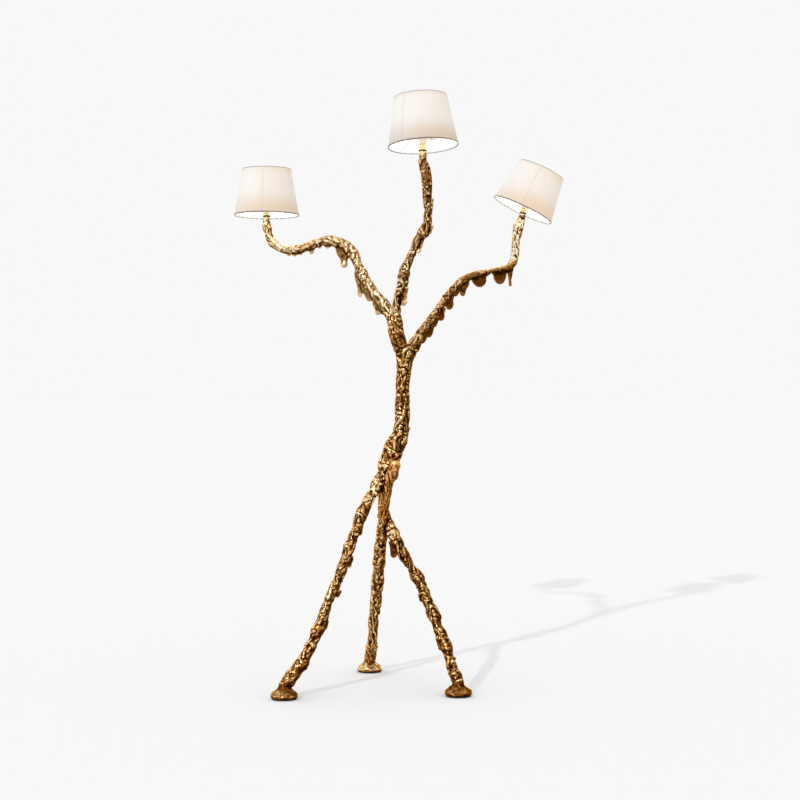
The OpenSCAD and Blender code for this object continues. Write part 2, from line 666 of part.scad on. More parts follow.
// Glass: a sphere above a narrow neck that comes out of the lampholder
function glass(r, t) = let (n = 9, seat = bulb_cap_d / 2 - 0.4 - t)
    concat([[seat, bulb_z], [seat + 0.4, max(bulb_z, flange_z + thread_h) + 1]],
        [for (k = [0:n]) let (a = -54 + 144 * k / n) [(r - t) * cos(a), globe_z + (r - t) * sin(a)]]);
module bulb_glass(i) {
    outer = glass(globe_d / 2, 0);
    inner = glass(globe_d / 2, glass_t);
    count = len(outer) - 1;
    color([1, 0.93, 0.75, 0.5]) on_holder(i) rotate_extrude($fn = 96)
        polygon(concat([for (k = [0:count - 1]) outer[k]], [[0, globe_z + globe_d / 2]],
            [[0, globe_z + globe_d / 2 - glass_t]], [for (k = [1:count]) inner[count - k]]));
}
module bulb_filament(i) {
    low = bulb_z + globe_rise * 0.45;
    high = globe_z + globe_d * 0.22;
    color([1, 0.75, 0.35]) on_holder(i) {
        translate([0, 0, bulb_z]) cylinder(d1 = 8, d2 = 4, h = low - bulb_z + nudge, $fn = 48);
        translate([0, 0, low]) cylinder(d = 1.2, h = high - low + 1, $fn = 24);
        for (z = [low, high]) translate([0, 0, z]) cylinder(d = 11, h = 0.8, $fn = 48);
        for (k = [0:3]) rotate([0, 0, 45 + 90 * k]) translate([4.3, 0, low + 0.4])
            cylinder(d = 1.6, h = high - low, $fn = 24);
    }
}

// Fitter: a plate with two arms, whose bent-up ears hold the pivot pins
ear_w = 10;
ear_r = band_d / 2 - band_t - 1.4;
module shade_fitter(i) {
    low = -fitter_drop - band_t / 2;
    color(steel) on_holder(i) difference() {
        union() {
            translate([0, 0, low]) cylinder(d = thread_d + 12, h = band_t, $fn = 96);
            translate([-ear_w / 2, -ear_r, low]) cube([ear_w, 2 * ear_r, band_t]);
            for (way = [-1, 1]) translate([-ear_w / 2, way * (ear_r - band_t / 2) - band_t / 2, low])
                cube([ear_w, band_t, pin_head_d / 2 + 1 - low]);
        }
        translate([0, 0, low - 1]) cylinder(d = thread_d + 0.6, h = band_t + 2, $fn = 96);
        translate([0, ear_r + 1, 0]) rotate([90, 0, 0])
            cylinder(d = pin_d + 0.02, h = 2 * ear_r + 2, $fn = 48);
    }
}
module shade_pins(i) {
    inside = ear_r - band_t - 1;
    outside = band_d / 2 + 0.3;
    color(brass) on_holder(i) for (way = [0, 180]) rotate([0, 0, way]) {
        translate([0, inside, 0]) rotate([-90, 0, 0]) cylinder(d = pin_head_d, h = 1, $fn = 48);
        translate([0, inside, 0]) rotate([-90, 0, 0])
            cylinder(d = pin_d, h = outside + 1 - inside, $fn = 48);
        translate([0, outside, 0]) rotate([-90, 0, 0]) cylinder(d = pin_head_d, h = 1, $fn = 48);
    }
}

// Radius of the shade's inner face at a height above the lower opening
shade_slope = atan((shade_low_d - shade_top_d) / 2 / shade_h);
cloth_gap = 0.15;
function inner_r(z) = shade_low_d / 2 - z * tan(shade_slope) - cloth_t / cos(shade_slope);
function wire_r(z) = inner_r(z) - (wire_d / 2 + cloth_gap) / cos(shade_slope);
module wire_ring(z) {
    translate([0, 0, z - pivot_rise]) rotate_extrude($fn = 128)
        translate([wire_r(z), 0]) circle(d = wire_d, $fn = 24);
}
ring_z = wire_d / 2 + 1;
module shade_rings(i) {
    color(steel) on_shade(i) {
        wire_ring(shade_h - ring_z);
        wire_ring(ring_z);
    }
}
// Pivot band, and spokes that end on the lower ring
module shade_frame(i) {
    from = [band_d / 2 - band_t / 2, 0, -band_h / 2 + wire_d / 2];
    to = [wire_r(ring_z), 0, ring_z - pivot_rise];
    color(steel) on_shade(i) {
        difference() {
            tube(band_d, band_d - 2 * band_t, -band_h / 2, band_h / 2);
            rotate([90, 0, 0]) cylinder(d = pin_d + 0.1, h = band_d + 2, center = true, $fn = 48);
        }
        for (k = [0:spokes - 1]) rotate([0, 0, 360 * k / spokes]) along(from, unit(to - from))
            cylinder(d = spoke_d, h = norm(to - from) - wire_d / 2 + 0.05, $fn = 32);
    }
}
module shade_cloth(i) {
    r = cloth_t / cos(shade_slope);
    color(cream) on_shade(i) translate([0, 0, -pivot_rise]) difference() {
        cylinder(d1 = shade_low_d, d2 = shade_top_d, h = shade_h, $fn = 180);
        translate([0, 0, -1]) cylinder(r1 = shade_low_d / 2 - r + tan(shade_slope),
            r2 = shade_top_d / 2 - r - tan(shade_slope), h = shade_h + 2, $fn = 180);
    }
}

trunk();
leg_rear();
leg(left_leg, foot_left, left_leg_drips);  // leg_left
leg(right_leg, foot_right, right_leg_drips);  // leg_right
foot_pad(foot_rear);  // foot_pad_rear
foot_pad(foot_left);  // foot_pad_left
foot_pad(foot_right);  // foot_pad_right
socket_screws();
terminal_block();
earth_screw();
cable_gland();
supply_lead();
tip_nipples();
for (i = [0:2]) {
    arm(i);
    lamp_lead(i);
    collar(i);
    neck(i);
    lampholder(i);
    holder_contacts(i);
    retaining_ring(i);
    bulb_cap(i);
    bulb_glass(i);
    bulb_filament(i);
    shade_fitter(i);
    shade_pins(i);
    shade_frame(i);
    shade_rings(i);
    shade_cloth(i);
}
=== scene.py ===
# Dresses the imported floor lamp: bronze castings like run and dripping metal, turned brass necks,
# cream lampholders, lit bulbs and stretched linen shades, on a pale floor in soft studio light.
# Meshes are in metres in the lamp's own frame, limb stations in mm from the trunk's foot, and the
# sizes of the lights in mm from the point round which each fitter turns.
import json

import bpy
import numpy as np
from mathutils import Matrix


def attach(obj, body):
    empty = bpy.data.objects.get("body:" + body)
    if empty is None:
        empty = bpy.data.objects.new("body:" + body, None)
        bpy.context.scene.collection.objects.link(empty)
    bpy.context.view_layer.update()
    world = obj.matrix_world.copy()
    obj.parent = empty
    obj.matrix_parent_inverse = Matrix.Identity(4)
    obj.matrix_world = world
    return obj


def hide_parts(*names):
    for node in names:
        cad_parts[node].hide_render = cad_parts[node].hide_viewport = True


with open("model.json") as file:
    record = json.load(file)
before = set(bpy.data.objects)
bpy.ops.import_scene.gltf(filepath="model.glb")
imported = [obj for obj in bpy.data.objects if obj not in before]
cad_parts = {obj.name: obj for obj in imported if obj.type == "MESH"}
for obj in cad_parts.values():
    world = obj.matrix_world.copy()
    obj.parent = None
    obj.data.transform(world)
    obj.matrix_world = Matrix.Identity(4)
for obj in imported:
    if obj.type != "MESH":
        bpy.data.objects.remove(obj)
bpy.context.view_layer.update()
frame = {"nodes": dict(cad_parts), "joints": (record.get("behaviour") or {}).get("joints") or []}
nodes = frame["nodes"]
joints = {joint["name"]: joint for joint in frame["joints"]}
sides = ["left", "centre", "right"]
trunkFoot = np.array([-4.40686, -135.133, 0.0])  # in the lamp's own frame, in mm

cameraLook = {"place": (-0.0044, -4.795, 0.843), "lens": 72.0, "sensor": 36.0, "farthest": 900.0}


def addObject(name, data):
    thing = bpy.data.objects.new(name, data)
    bpy.context.scene.collection.objects.link(thing)
    return thing


def makeCamera(look):
    data = bpy.data.cameras.new("photoCamera")
    data.lens, data.sensor_width, data.clip_end = look["lens"], look["sensor"], look["farthest"]
    camera = addObject("photoCamera", data)
    camera.location, camera.rotation_euler = look["place"], (np.pi / 2, 0, 0)
    bpy.context.scene.camera = camera


makeCamera(cameraLook)
print("camera placed")

# Number fields used by the reliefs; the mixing numbers are large and odd
mixing = {"axes": (73856093, 19349663, 83492791), "seed": 668265263, "stir": 1274126177,
          "keep": 0x7FFFFFFF, "levels": 20011}


def smooth(t):
    # from 0 to 1 with level ends: three times t squared less twice t cubed
    t = np.clip(t, 0, 1)
    return t * t * (3 - 2 * t)


def latticeValue(cell, seed, mix=mixing):
    # a repeatable number from -1 to 1 for every whole-numbered cell: its products with the mixing
    # numbers are stirred by shifts and the low bits are kept
    across, behind, up = [cell[..., k] * number for k, number in enumerate(mix["axes"])]
    mixed = ((across ^ behind ^ up) + seed * mix["seed"]) & mix["keep"]
    mixed = ((mixed >> 13) ^ mixed) * mix["stir"] & mix["keep"]
    mixed = ((mixed >> 15) ^ mixed) * mix["seed"] & mix["keep"]
    return (mixed % mix["levels"]) / (mix["levels"] / 2) - 1


def cloudField(points, size, seed):
    # value noise: the lattice numbers at a point's eight neighbours, blended by smooth weights
    scaled = np.asarray(points) / size
    base = np.floor(scaled).astype(np.int64)
    share = smooth(scaled - base)
    total = np.zeros(scaled.shape[:-1])
    for corner in np.ndindex(2, 2, 2):
        step = np.array(corner)
        weight = np.prod(np.where(step == 1, share, 1 - share), axis=-1)
        total += weight * latticeValue(base + step, seed)
    return total


def pitField(points, size, seed):
    # distance to the nearest of one scattered spot per cell, as a share of the cell's size
    scaled = np.asarray(points) / size
    base = np.floor(scaled).astype(np.int64)
    nearest = np.full(scaled.shape[:-1], 9.0)
    for corner in np.ndindex(3, 3, 3):
        cell = base + np.array(corner) - 1
        spot = np.stack([latticeValue(cell, seed + k) for k in range(3)], axis=-1) * 0.5 + 0.5
        nearest = np.minimum(nearest, np.linalg.norm(cell + spot - scaled, axis=-1))
    return nearest


# Skins
def unit(v):
    return v / np.maximum(np.linalg.norm(v, axis=-1, keepdims=True), 1e-12)


def anglesRound(columns):
    return np.linspace(0, 2 * np.pi, columns + 1)[:-1]


def carriedRound(radius, height, turn):
    # a grid of rings: each row's radius and height carried round the upright axis
    radius = radius + 0 * turn
    return np.stack([radius * np.cos(turn), radius * np.sin(turn), height + 0 * radius], -1)


def gridFaces(rows, columns, closedRows=False):
    # quads between neighbouring rows and columns of a grid whose columns run round and meet
    r = np.arange(rows if closedRows else rows - 1)[:, None]
    c = np.arange(columns)[None, :]
    a, b = r * columns + c, r * columns + (c + 1) % columns
    up, upNext = ((r + 1) % rows) * columns + c, ((r + 1) % rows) * columns + (c + 1) % columns
    return np.stack([a, b, upNext, up], axis=-1).reshape(-1, 4)


def cappedSkin(grid):
    # a grid of rings as a closed skin: quads between the rings, and a fan to each end's middle
    rows, columns = grid.shape[:2]
    points = np.concatenate([grid.reshape(-1, 3), grid[0].mean(0)[None], grid[-1].mean(0)[None]])
    foot, head = rows * columns, rows * columns + 1
    c = np.arange(columns)
    n = (c + 1) % columns
    last = (rows - 1) * columns
    fans = np.concatenate([np.stack([n, c, np.full(columns, foot)], 1),
                           np.stack([last + c, last + n, np.full(columns, head)], 1)])
    return points, [gridFaces(rows, columns), fans]


def meshObject(name, points, faces, soft=True):
    mesh = bpy.data.meshes.new(name)
    mesh.from_pydata(np.asarray(points).tolist(), [], faces)
    mesh.update()
    if soft:
        mesh.polygons.foreach_set("use_smooth", np.ones(len(mesh.polygons), bool))
    return addObject(name, mesh)


def declare(piece, body, node):
    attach(piece, body)
    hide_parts(node)
    return piece


def storeValues(mesh, values):
    # attributes with one number for each point, by name
    for key, numbers in values.items():
        store = mesh.attributes.new(key, "FLOAT", "POINT")
        store.data.foreach_set("value", np.asarray(numbers, np.float32).ravel())


# Castings. Stations of each limb's centre line: to the right, behind, up, and the radius there
stations = {
    "spine": [
        [-94, 308, 36, 17], [-86, 264, 90, 15.5], [-82, 226, 160, 15.5], [-72, 190, 236, 16],
        [-66, 152, 316, 16.5], [-60, 118, 390, 16], [-54, 86, 452, 15.5], [-50, 58, 512, 14.5],
        [-46, 32, 568, 17], [-36, 10, 628, 26], [-30, 0, 666, 27], [-16, 0, 706, 27],
        [0, 0, 744, 23.5], [6, 0, 800, 20.5], [8, 0, 872, 19.5], [12, 0, 936, 21],
        [16, 4, 982, 26], [18, 4, 1002, 20]],
    "leftLeg": [
        [-34, 0, 650, 22], [-60, -4, 608, 17], [-96, -18, 544, 16], [-116, -30, 496, 15],
        [-138, -40, 442, 14.5], [-156, -54, 388, 15], [-180, -70, 324, 13.5],
        [-208, -88, 260, 12], [-228, -102, 202, 15], [-254, -116, 144, 16],
        [-286, -130, 90, 15.5], [-326, -148, 36, 17]],
    "rightLeg": [
        [-48, 58, 518, 12], [-34, 76, 478, 13.5], [-14, 70, 436, 15], [6, 54, 396, 15.5],
        [34, 40, 350, 14], [60, 20, 308, 14.5], [80, 0, 260, 16], [102, -22, 214, 16],
        [118, -42, 164, 14.5], [136, -62, 124, 15], [150, -80, 78, 15], [166, -104, 36, 17]],
    "leftArm": [
        [12, 0, 972, 16], [-8, 4, 1012, 15.5], [-18, 14, 1050, 15], [-30, 24, 1094, 15],
        [-56, 40, 1134, 15], [-92, 60, 1182, 15], [-120, 80, 1234, 14], [-142, 94, 1282, 13.5],
        [-180, 116, 1312, 13.5], [-222, 134, 1320, 14], [-266, 160, 1310, 13],
        [-312, 184, 1298, 11.5], [-360, 214, 1304, 10.5], [-396, 242, 1334, 12],
        [-410, 260, 1382, 11], [-410, 260, 1406, 9.5]],
    "centreArm": [
        [14, 0, 972, 16], [2, -8, 1012, 15.5], [-4, -16, 1052, 14], [-10, -24, 1096, 12.5],
        [-8, -32, 1134, 12], [6, -42, 1172, 14.5], [14, -52, 1214, 13.5], [32, -66, 1260, 10.5],
        [48, -76, 1296, 12], [72, -88, 1330, 15], [80, -102, 1370, 12.5], [78, -116, 1416, 12],
        [76, -130, 1464, 12.5], [70, -142, 1500, 12.5], [64, -148, 1520, 11],
        [64, -148, 1544, 9.5]],
    "rightArm": [
        [16, 0, 968, 17], [32, 14, 998, 16], [52, 30, 1024, 14.5], [87, 60, 1075, 12],
        [120, 94, 1122, 11], [156, 130, 1172, 10.5], [195, 170, 1209, 10], [246, 214, 1229, 8.5],
        [298, 264, 1244, 8], [340, 306, 1255, 10.5], [358, 342, 1292, 12.5], [364, 370, 1342, 13],
        [374, 394, 1386, 14.5], [383.6, 420, 1411.8, 11], [390.6, 420, 1434.7, 9.5]],
    "strand": [
        [-17, -26, 669, 9], [-17, -25, 655, 15], [-24, -20, 632, 15.5], [-35, -8, 605, 15],
        [-43, 14, 553, 14.5], [-49, 44, 510, 13], [-54, 80, 456, 12]],
}
stations["rearLeg"] = stations["spine"][:13]  # the spine's lower part, with a look of its own
# How each limb's skin is stirred: swellings, lumps and wrinkles as shares of the radius, the twist
# of the wrinkles in radians a metre, beads in mm, the runs of metal in each metre of limb with
# their least and greatest radius in mm, and the seed of all its noise
limbFacts = ["swell", "lump", "wrinkle", "twist", "bead", "runs", "runSize", "seed"]
limbLooks = {name: dict(zip(limbFacts, values)) for name, values in {
    "spine": (0.1, 0.15, 0.22, -16, 1.1, 190, (1.5, 2.9), 3),
    "rearLeg": (0.16, 0.24, 0.15, 7, 0.6, 60, (2.2, 4.4), 5),
    "leftLeg": (0.3, 0.28, 0.22, 7, 0.8, 95, (2.0, 4.4), 11),
    "rightLeg": (0.3, 0.28, 0.22, -8, 0.8, 95, (2.0, 4.4), 19),
    "strand": (0.08, 0.14, 0.16, 2, 0.2, 90, (1.8, 3.2), 23),
    "leftArm": (0.18, 0.22, 0.2, 12, 0.4, 110, (2.0, 4.2), 29),
    "centreArm": (0.2, 0.26, 0.12, -12, 0.4, 90, (2.8, 5.2), 37),
    "rightArm": (0.16, 0.2, 0.18, 9, 0.4, 90, (1.9, 3.8), 43),
}.items()}


def alongRoute(route, u):
    # Catmull-Rom curve: each point is the cubic blend of its four nearest stations
    route = np.asarray(route, float)
    last = len(route) - 1
    i = np.clip(np.floor(u).astype(int), 0, last - 1)
    t = (u - i)[:, None]
    a, b = route[np.maximum(i - 1, 0)], route[i]
    c, d = route[i + 1], route[np.minimum(i + 2, last)]
    return 0.5 * (2 * b + (c - a) * t + (2 * a - 5 * b + 4 * c - d) * t ** 2
                  + (3 * b - a - 3 * c + d) * t ** 3)


def alongLimb(name, start, end, step):
    # rings at an even step: their distance from the limb's first station, middles, radii, and two
    # directions square to the limb
    route = stations[name]
    fine = np.linspace(0, len(route) - 1, 900)  # close enough together to measure the length by
    path = alongRoute(route, fine)[:, :3]
    length = np.concatenate([[0], np.cumsum(np.linalg.norm(np.diff(path, axis=0), axis=1))])
    first, last = np.interp([start, end], fine, length)
    travel = np.linspace(first, last, int((last - first) / step) + 2)
    spots = alongRoute(route, np.interp(travel, length, fine))
    ahead = unit(np.gradient(spots[:, :3], axis=0))
    across = unit(np.cross([0.0, 1.0, 0.0], ahead))
    return travel, spots[:, :3], spots[:, 3], across, np.cross(ahead, across)


# Sizes in mm of the noise that stirs a limb's skin, and how its ends dip
skinLook = {"step": 1.4, "columns": 72, "girth": 14.0, "sway": 60, "where": 30, "lump": 17,
            "knob": 13, "swell": 27, "beadPatch": 26, "endLength": 7.0, "endDip": 0.16}


def limbSkin(name, start, end, taper, size=skinLook):
    # a ring at every step of the centre line. Its radius is raised by swellings and by rounder
    # lumps, both noise in space, by wrinkles with sharp valleys that follow noise in the skin's own
    # slowly twisting coordinates, and by beads that are domes between scattered spots. The end
    # that taper names dips below its neighbour's skin
    look = limbLooks[name]
    seed = look["seed"]
    travel, centre, radius, across, beyond = alongLimb(name, start, end, size["step"])
    turn = anglesRound(size["columns"])
    away = (np.cos(turn)[None, :, None] * across[:, None] + np.sin(turn)[None, :, None]
            * beyond[:, None])
    plain = centre[:, None] + radius[:, None, None] * away
    sway = 1.2 * cloudField(centre, size["sway"], seed)[:, None]
    far = travel[:, None]

    def wound(twist, around, along):
        # a place on a turned ring and the way along the limb, in noise cells
        angle = turn[None] + twist * far / 1000 + sway
        ring = size["girth"] / around
        return np.stack([ring * np.cos(angle), ring * np.sin(angle), far / along + 0 * angle], -1)

    def wrinkles(twist, around, along, number):
        return np.abs(cloudField(wound(twist, around, along), 1, seed + number)) ** 0.6 - 0.45

    loose = wrinkles(look["twist"], 8, 30, 2)
    cross = wrinkles(-2.5 * look["twist"], 9, 15, 3)
    where = smooth(0.5 + 1.4 * cloudField(plain, size["where"], seed + 4))
    relief = look["wrinkle"] * (where * loose + (1 - where) * cross)
    lumps = cloudField(plain, size["lump"], seed + 5)
    relief = relief + look["lump"] * (1 - np.abs(lumps - 0.3)) * np.sign(lumps + 0.25) * 0.5
    relief = relief + look["lump"] * 0.6 * cloudField(plain * [1, 1, 0.8], size["knob"], seed + 8)
    relief = relief + look["swell"] * cloudField(centre, size["swell"], seed + 9)[:, None]
    beads = 0.75 - pitField(wound(look["twist"], 6, 8), 1, seed + 6) ** 2 * 1.6
    patches = smooth(0.5 + 1.4 * cloudField(plain, size["beadPatch"], seed + 7))
    grown = radius[:, None] * (1 + relief) + look["bead"] * beads * patches
    gap = {"start": far - travel[0], "end": travel[-1] - far}
    if taper in gap:
        grown = grown * (1 - size["endDip"] * smooth(1 - gap[taper] / size["endLength"]))
    return cappedSkin(centre[:, None] + grown[..., None] * away)


dripLook = {"columns": 40, "rowStep": 1.3, "leastRows": 8, "waist": 0.2, "ragged": 0.22,
            "lean": 1.6, "sway": 1.8, "relief": 1.3, "reliefSize": 10}


def dripSkin(top, level, drop, wide, topRadius, tipRadius, full, seed, look=dripLook):
    # rings down a hanging drip: wide along the limb at the top, thin in the waist, and rounded
    # off below in a drop. A full one keeps its width and ends round, as a sheet of metal does
    t = np.linspace(0, 1, int(drop / look["rowStep"]) + look["leastRows"])
    tipShare = min(1.15 * (tipRadius + 0.7 * full * wide) / drop, 0.8)
    ending = np.sqrt(np.clip(1 - np.clip((t - 1 + tipShare) / tipShare, 0, 1) ** 2, 0.0004, 1))
    waist = 1 - look["waist"] * (1 - full) * np.exp(-((t - 0.66) / 0.13) ** 2)
    body = (tipRadius + (topRadius - tipRadius) * (1 - smooth(t * 1.25))) * waist * ending
    ragged = 1 + look["ragged"] * cloudField(np.stack([t * 3.1, 0 * t, 0 * t + seed], 1), 1, seed)
    spread = wide * ragged * (1 - (0.85 - 0.7 * full) * smooth(t * 1.15)) * ending
    turn = anglesRound(look["columns"])
    side = np.array([-level[1], level[0], 0])
    lean = (look["lean"] * np.sin(2.6 * t + seed)[:, None] * side
            + look["sway"] * np.sin(2.2 * t + 2 * seed)[:, None] * level)
    centre = np.asarray(top)[None] - t[:, None] * np.array([0, 0, drop]) + lean * smooth(t)[:, None]
    flat = body[:, None] * (1 - 0.3 * full * smooth(2 * t)[:, None])
    ring = (centre[:, None] + ((body + spread)[:, None] * np.cos(turn))[..., None] * level
            + (flat * np.sin(turn))[..., None] * side)
    bumps = look["relief"] * cloudField(ring, look["reliefSize"], seed + 50) * ending[:, None]
    return cappedSkin(ring + bumps[..., None] * unit(ring - centre[:, None]))


def limbDrips(name, drips):
    # the drips of one limb, each spread along the limb's own way in plan
    skins = []
    for number, (u, shift, *shape) in enumerate(drips):
        near = alongRoute(stations[name], np.array([u - 0.05, u, u + 0.05]))[:, :3]
        level = near[2] - near[0]
        level[2] = 0
        level = unit(level + np.array([1e-6, 0, 0]))
        seed = number + limbLooks[name]["seed"]
        skins.append(dripSkin(near[1] + [shift, 0, 0], level, *shape, seed))
    return skins


runLook = {"steps": 24, "ringStep": 2.0, "margin": 6.0, "length": (18, 75), "drift": 0.7,
           "sunk": 0.3, "level": 0.35, "hang": 1.6, "drop": 0.88, "columns": 12}


def runTubes(spots, outs, size, form):
    # closed tubes along the runs' ways, thin at first and swelling into a drop that ends round
    t = np.linspace(0, 1, form["steps"])
    past = (t - form["drop"]) / (1 - form["drop"])
    girth = 0.5 + 0.3 * t + 0.4 * np.exp(-((t - form["drop"]) / 0.1) ** 2)
    girth = girth * (0.4 + 0.6 * smooth(t / 0.2))
    girth = girth * np.sqrt(np.clip(1 - np.clip(past, 0, 1) ** 2, 0.01, 1))
    girth = size[:, None] * girth
    ahead = unit(np.gradient(spots, axis=1) + [0, 0, -1e-3])
    up = unit(outs - (outs * ahead).sum(-1, keepdims=True) * ahead)
    side = np.cross(ahead, up)
    turn = anglesRound(form["columns"])
    grids = spots[:, :, None] + girth[..., None, None] * (
        np.cos(turn)[:, None] * up[:, :, None] + np.sin(turn)[:, None] * side[:, :, None])
    return [cappedSkin(grid) for grid in grids]


def limbRuns(name, start, end, form=runLook):
    # runs of metal like wax on a candle: each starts at a random place on the skin, creeps down
    # the steepest way over it in equal steps, wandering a little, and ends in a drop. Where the
    # way levels out, under the limb, the end hangs down as a short drip
    look = limbLooks[name]
    chance = np.random.default_rng(look["seed"] + int(10 * start))
    travel, centre, radius, across, beyond = alongLimb(name, start, end, form["ringStep"])
    first, last = travel[0], travel[-1]
    count = int(look["runs"] * (last - first) / 1000)
    place = chance.uniform(first + form["margin"], last - form["margin"], count)
    angle = chance.uniform(0, 2 * np.pi, count)
    size = chance.uniform(*look["runSize"], count)
    stride = chance.uniform(*form["length"], count) / form["steps"]
    drift = chance.uniform(-form["drift"], form["drift"], count)
    wave = chance.uniform(0, 6.3, count)

    def onSkin(s, a, lift):
        at = [np.stack([np.interp(s, travel, values[:, k]) for k in range(3)], 1)
              for values in (centre, across, beyond)]
        out = np.cos(a)[:, None] * at[1] + np.sin(a)[:, None] * at[2]
        return at[0] + (np.interp(s, travel, radius) + lift)[:, None] * out, out

    def heightAt(s, a):
        return onSkin(s, a, 0)[0][:, 2]

    spots, outs, hang = [], [], 0 * place
    for step in range(form["steps"]):
        spot, out = onSkin(place, angle, -form["sunk"] * size)
        spots.append(spot - hang[:, None] * [0, 0, 1])
        outs.append(out)
        fall = np.stack([heightAt(place - 1, angle) - heightAt(place + 1, angle),
                         heightAt(place, angle - 0.07) - heightAt(place, angle + 0.07)], 1) / 2
        steep = np.linalg.norm(fall, axis=1)
        way = fall / np.maximum(steep, form["level"])[:, None]
        bend = drift * np.sin(0.4 * step + wave)
        way = np.stack([way[:, 0] * np.cos(bend) - way[:, 1] * np.sin(bend),
                        way[:, 0] * np.sin(bend) + way[:, 1] * np.cos(bend)], 1)
        place = np.clip(place + way[:, 0] * stride, first + 3, last - 3)
        angle = angle + way[:, 1] * stride / np.interp(place, travel, radius)
        sag = stride * np.clip(1 - steep / form["level"], 0, 1) * 0.4
        hang = np.minimum(hang + sag, form["hang"] * size)
    return runTubes(np.stack(spots, 1), np.stack(outs, 1), size, form)


footLook = {"radius": 39.0, "edge": 13.0, "height": 36.0, "pad": 3.0, "rows": 90, "columns": 160,
            "lobes": 5, "stirred": 0.04, "relief": 2.4}


def footSkin(place, seed, look=footLook):
    # a lathe profile from the rim over a slumped dome to the leg, its radius and height stirred
    # by noise like metal that pooled at the leg's end
    r, e, h = look["radius"], look["edge"], look["height"]
    profile = np.array([[0.2, 0], [r - 4, 0], [r - 1.2, 1], [r, 3.5], [r, 6.5], [r - 0.8, e - 4],
                        [r - 2.5, e - 1], [r - 6, e + 3], [r - 11, e + 7], [r - 16.5, e + 11],
                        [18, e + 15.5], [16.5, h], [15, h + 9], [0.2, h + 12]])
    steps = np.linspace(0, len(profile) - 1, look["rows"])
    shape = np.stack([np.interp(steps, np.arange(len(profile)), profile[:, k]) for k in (0, 1)], 1)
    for _ in range(3):
        shape[1:-1] = 0.25 * shape[:-2] + 0.5 * shape[1:-1] + 0.25 * shape[2:]
    turn = anglesRound(look["columns"])
    ring = carriedRound(shape[:, :1], shape[:, 1:], turn)
    middle = np.array([place[0], place[1], look["pad"]])
    stir = cloudField(ring + middle, 17, seed) + 0.6 * cloudField(ring + middle, 8, seed + 1)
    lobes = look["stirred"] * np.sin(look["lobes"] * turn + seed)[None]
    lobes = 1 + lobes * smooth(shape[:, 0] / 30)[:, None]
    rise = smooth(shape[:, 1] / 8)[:, None]
    ring[..., :2] *= (lobes * (1 + look["stirred"] * stir * rise))[..., None]
    ring[..., 2] += look["relief"] * stir * rise * smooth((ring[..., 2]) / 6)
    reach = np.linalg.norm(ring[..., :2], axis=-1, keepdims=True)
    ring[..., :2] *= np.minimum(1, (r - 0.1) / np.maximum(reach, 1e-6))
    return cappedSkin(ring + middle)


def fuse(name, skins, voxel):
    # joins closed skins into one by remeshing their union
    points, faces, count = [], [], 0
    for skin, parts in skins:
        points.append((skin + trunkFoot) / 1000)
        for part in parts:
            faces += (part + count).tolist()
        count += len(skin)
    thing = meshObject(name, np.concatenate(points), faces)
    remesh = thing.modifiers.new("fuse", "REMESH")
    remesh.mode, remesh.voxel_size, remesh.use_smooth_shade = "VOXEL", voxel, True
    made = bpy.data.meshes.new_from_object(
        thing.evaluated_get(bpy.context.evaluated_depsgraph_get()))
    thing.modifiers.clear()
    old, thing.data = thing.data, made
    bpy.data.meshes.remove(old)
    made.name = name
    return thing


def read(owner, key, width):
    values = np.empty(len(owner) * width, np.int32 if key == "vertices" else np.float64)
    owner.foreach_get(key, values)
    return values.reshape(-1, width)


def relax(points, edges, times):
    # each pass moves every point halfway to the mean of its neighbours
    count = len(points)
    both = np.concatenate([edges, edges[:, ::-1]])
    degree = np.maximum(np.bincount(both[:, 0], minlength=count), 1)[:, None]
    for _ in range(times):
        total = np.stack([np.bincount(both[:, 0], weights=points[both[:, 1], k], minlength=count)
                          for k in range(3)], 1)
        points = 0.5 * points + 0.5 * total / degree
    return points


pitLook = {"size": 5.4, "depth": 0.5, "patch": 38, "ripple": 3.2, "rippleDepth": 0.22,
           "nearPasses": 5, "widePasses": 45}


def castSurface(thing, seed, grain, look=pitLook):
    # smooths the voxels away, sinks pits and fine ripples into the metal, less on the feet, and
    # tells how far each point lies below its near and its wider surroundings
    mesh = thing.data
    edges = read(mesh.edges, "vertices", 2)
    points = relax(read(mesh.vertices, "co", 3), edges, 2)
    mesh.vertices.foreach_set("co", points.ravel())
    mesh.update()
    normals = read(mesh.vertex_normals, "vector", 3)
    mm = points * 1000
    pits = 1 - smooth(pitField(mm, look["size"], seed) / 0.62)
    patchy = smooth(0.5 + cloudField(mm, look["patch"], seed + 5))
    ripple = cloudField(mm * [1, 1, 0.6], look["ripple"], seed + 6)
    depth = -look["depth"] * pits * patchy + look["rippleDepth"] * ripple
    low = smooth((mm[:, 2] - 3.4) / 3) * (0.5 + 0.5 * smooth((mm[:, 2] - 30) / 30)) * grain
    points = points + normals * (depth * low)[:, None] / 1000
    levels = [relax(points, edges, look[passes]) for passes in ("nearPasses", "widePasses")]
    mesh.vertices.foreach_set("co", points.ravel())
    mesh.update()
    return points, normals, [((level - points) * normals).sum(1) for level in levels]


def routePlaces(name, start, end, count):
    # places along a limb's centre line, in metres in the lamp's frame
    return (alongRoute(stations[name], np.linspace(start, end, count))[:, :3] + trunkFoot) / 1000


def belowLimb(points, name, start, end):
    # how far each point lies below the limb's centre line, taken at the nearest place in plan
    nearest, below = np.full(len(points), 9.0), np.zeros(len(points))
    for spot in routePlaces(name, start, end, 90):
        apart = np.hypot(points[:, 0] - spot[0], points[:, 1] - spot[1])
        below = np.where(apart < nearest, spot[2] - points[:, 2], below)
        nearest = np.minimum(nearest, apart)
    return np.where(nearest < 0.032, below, 0)


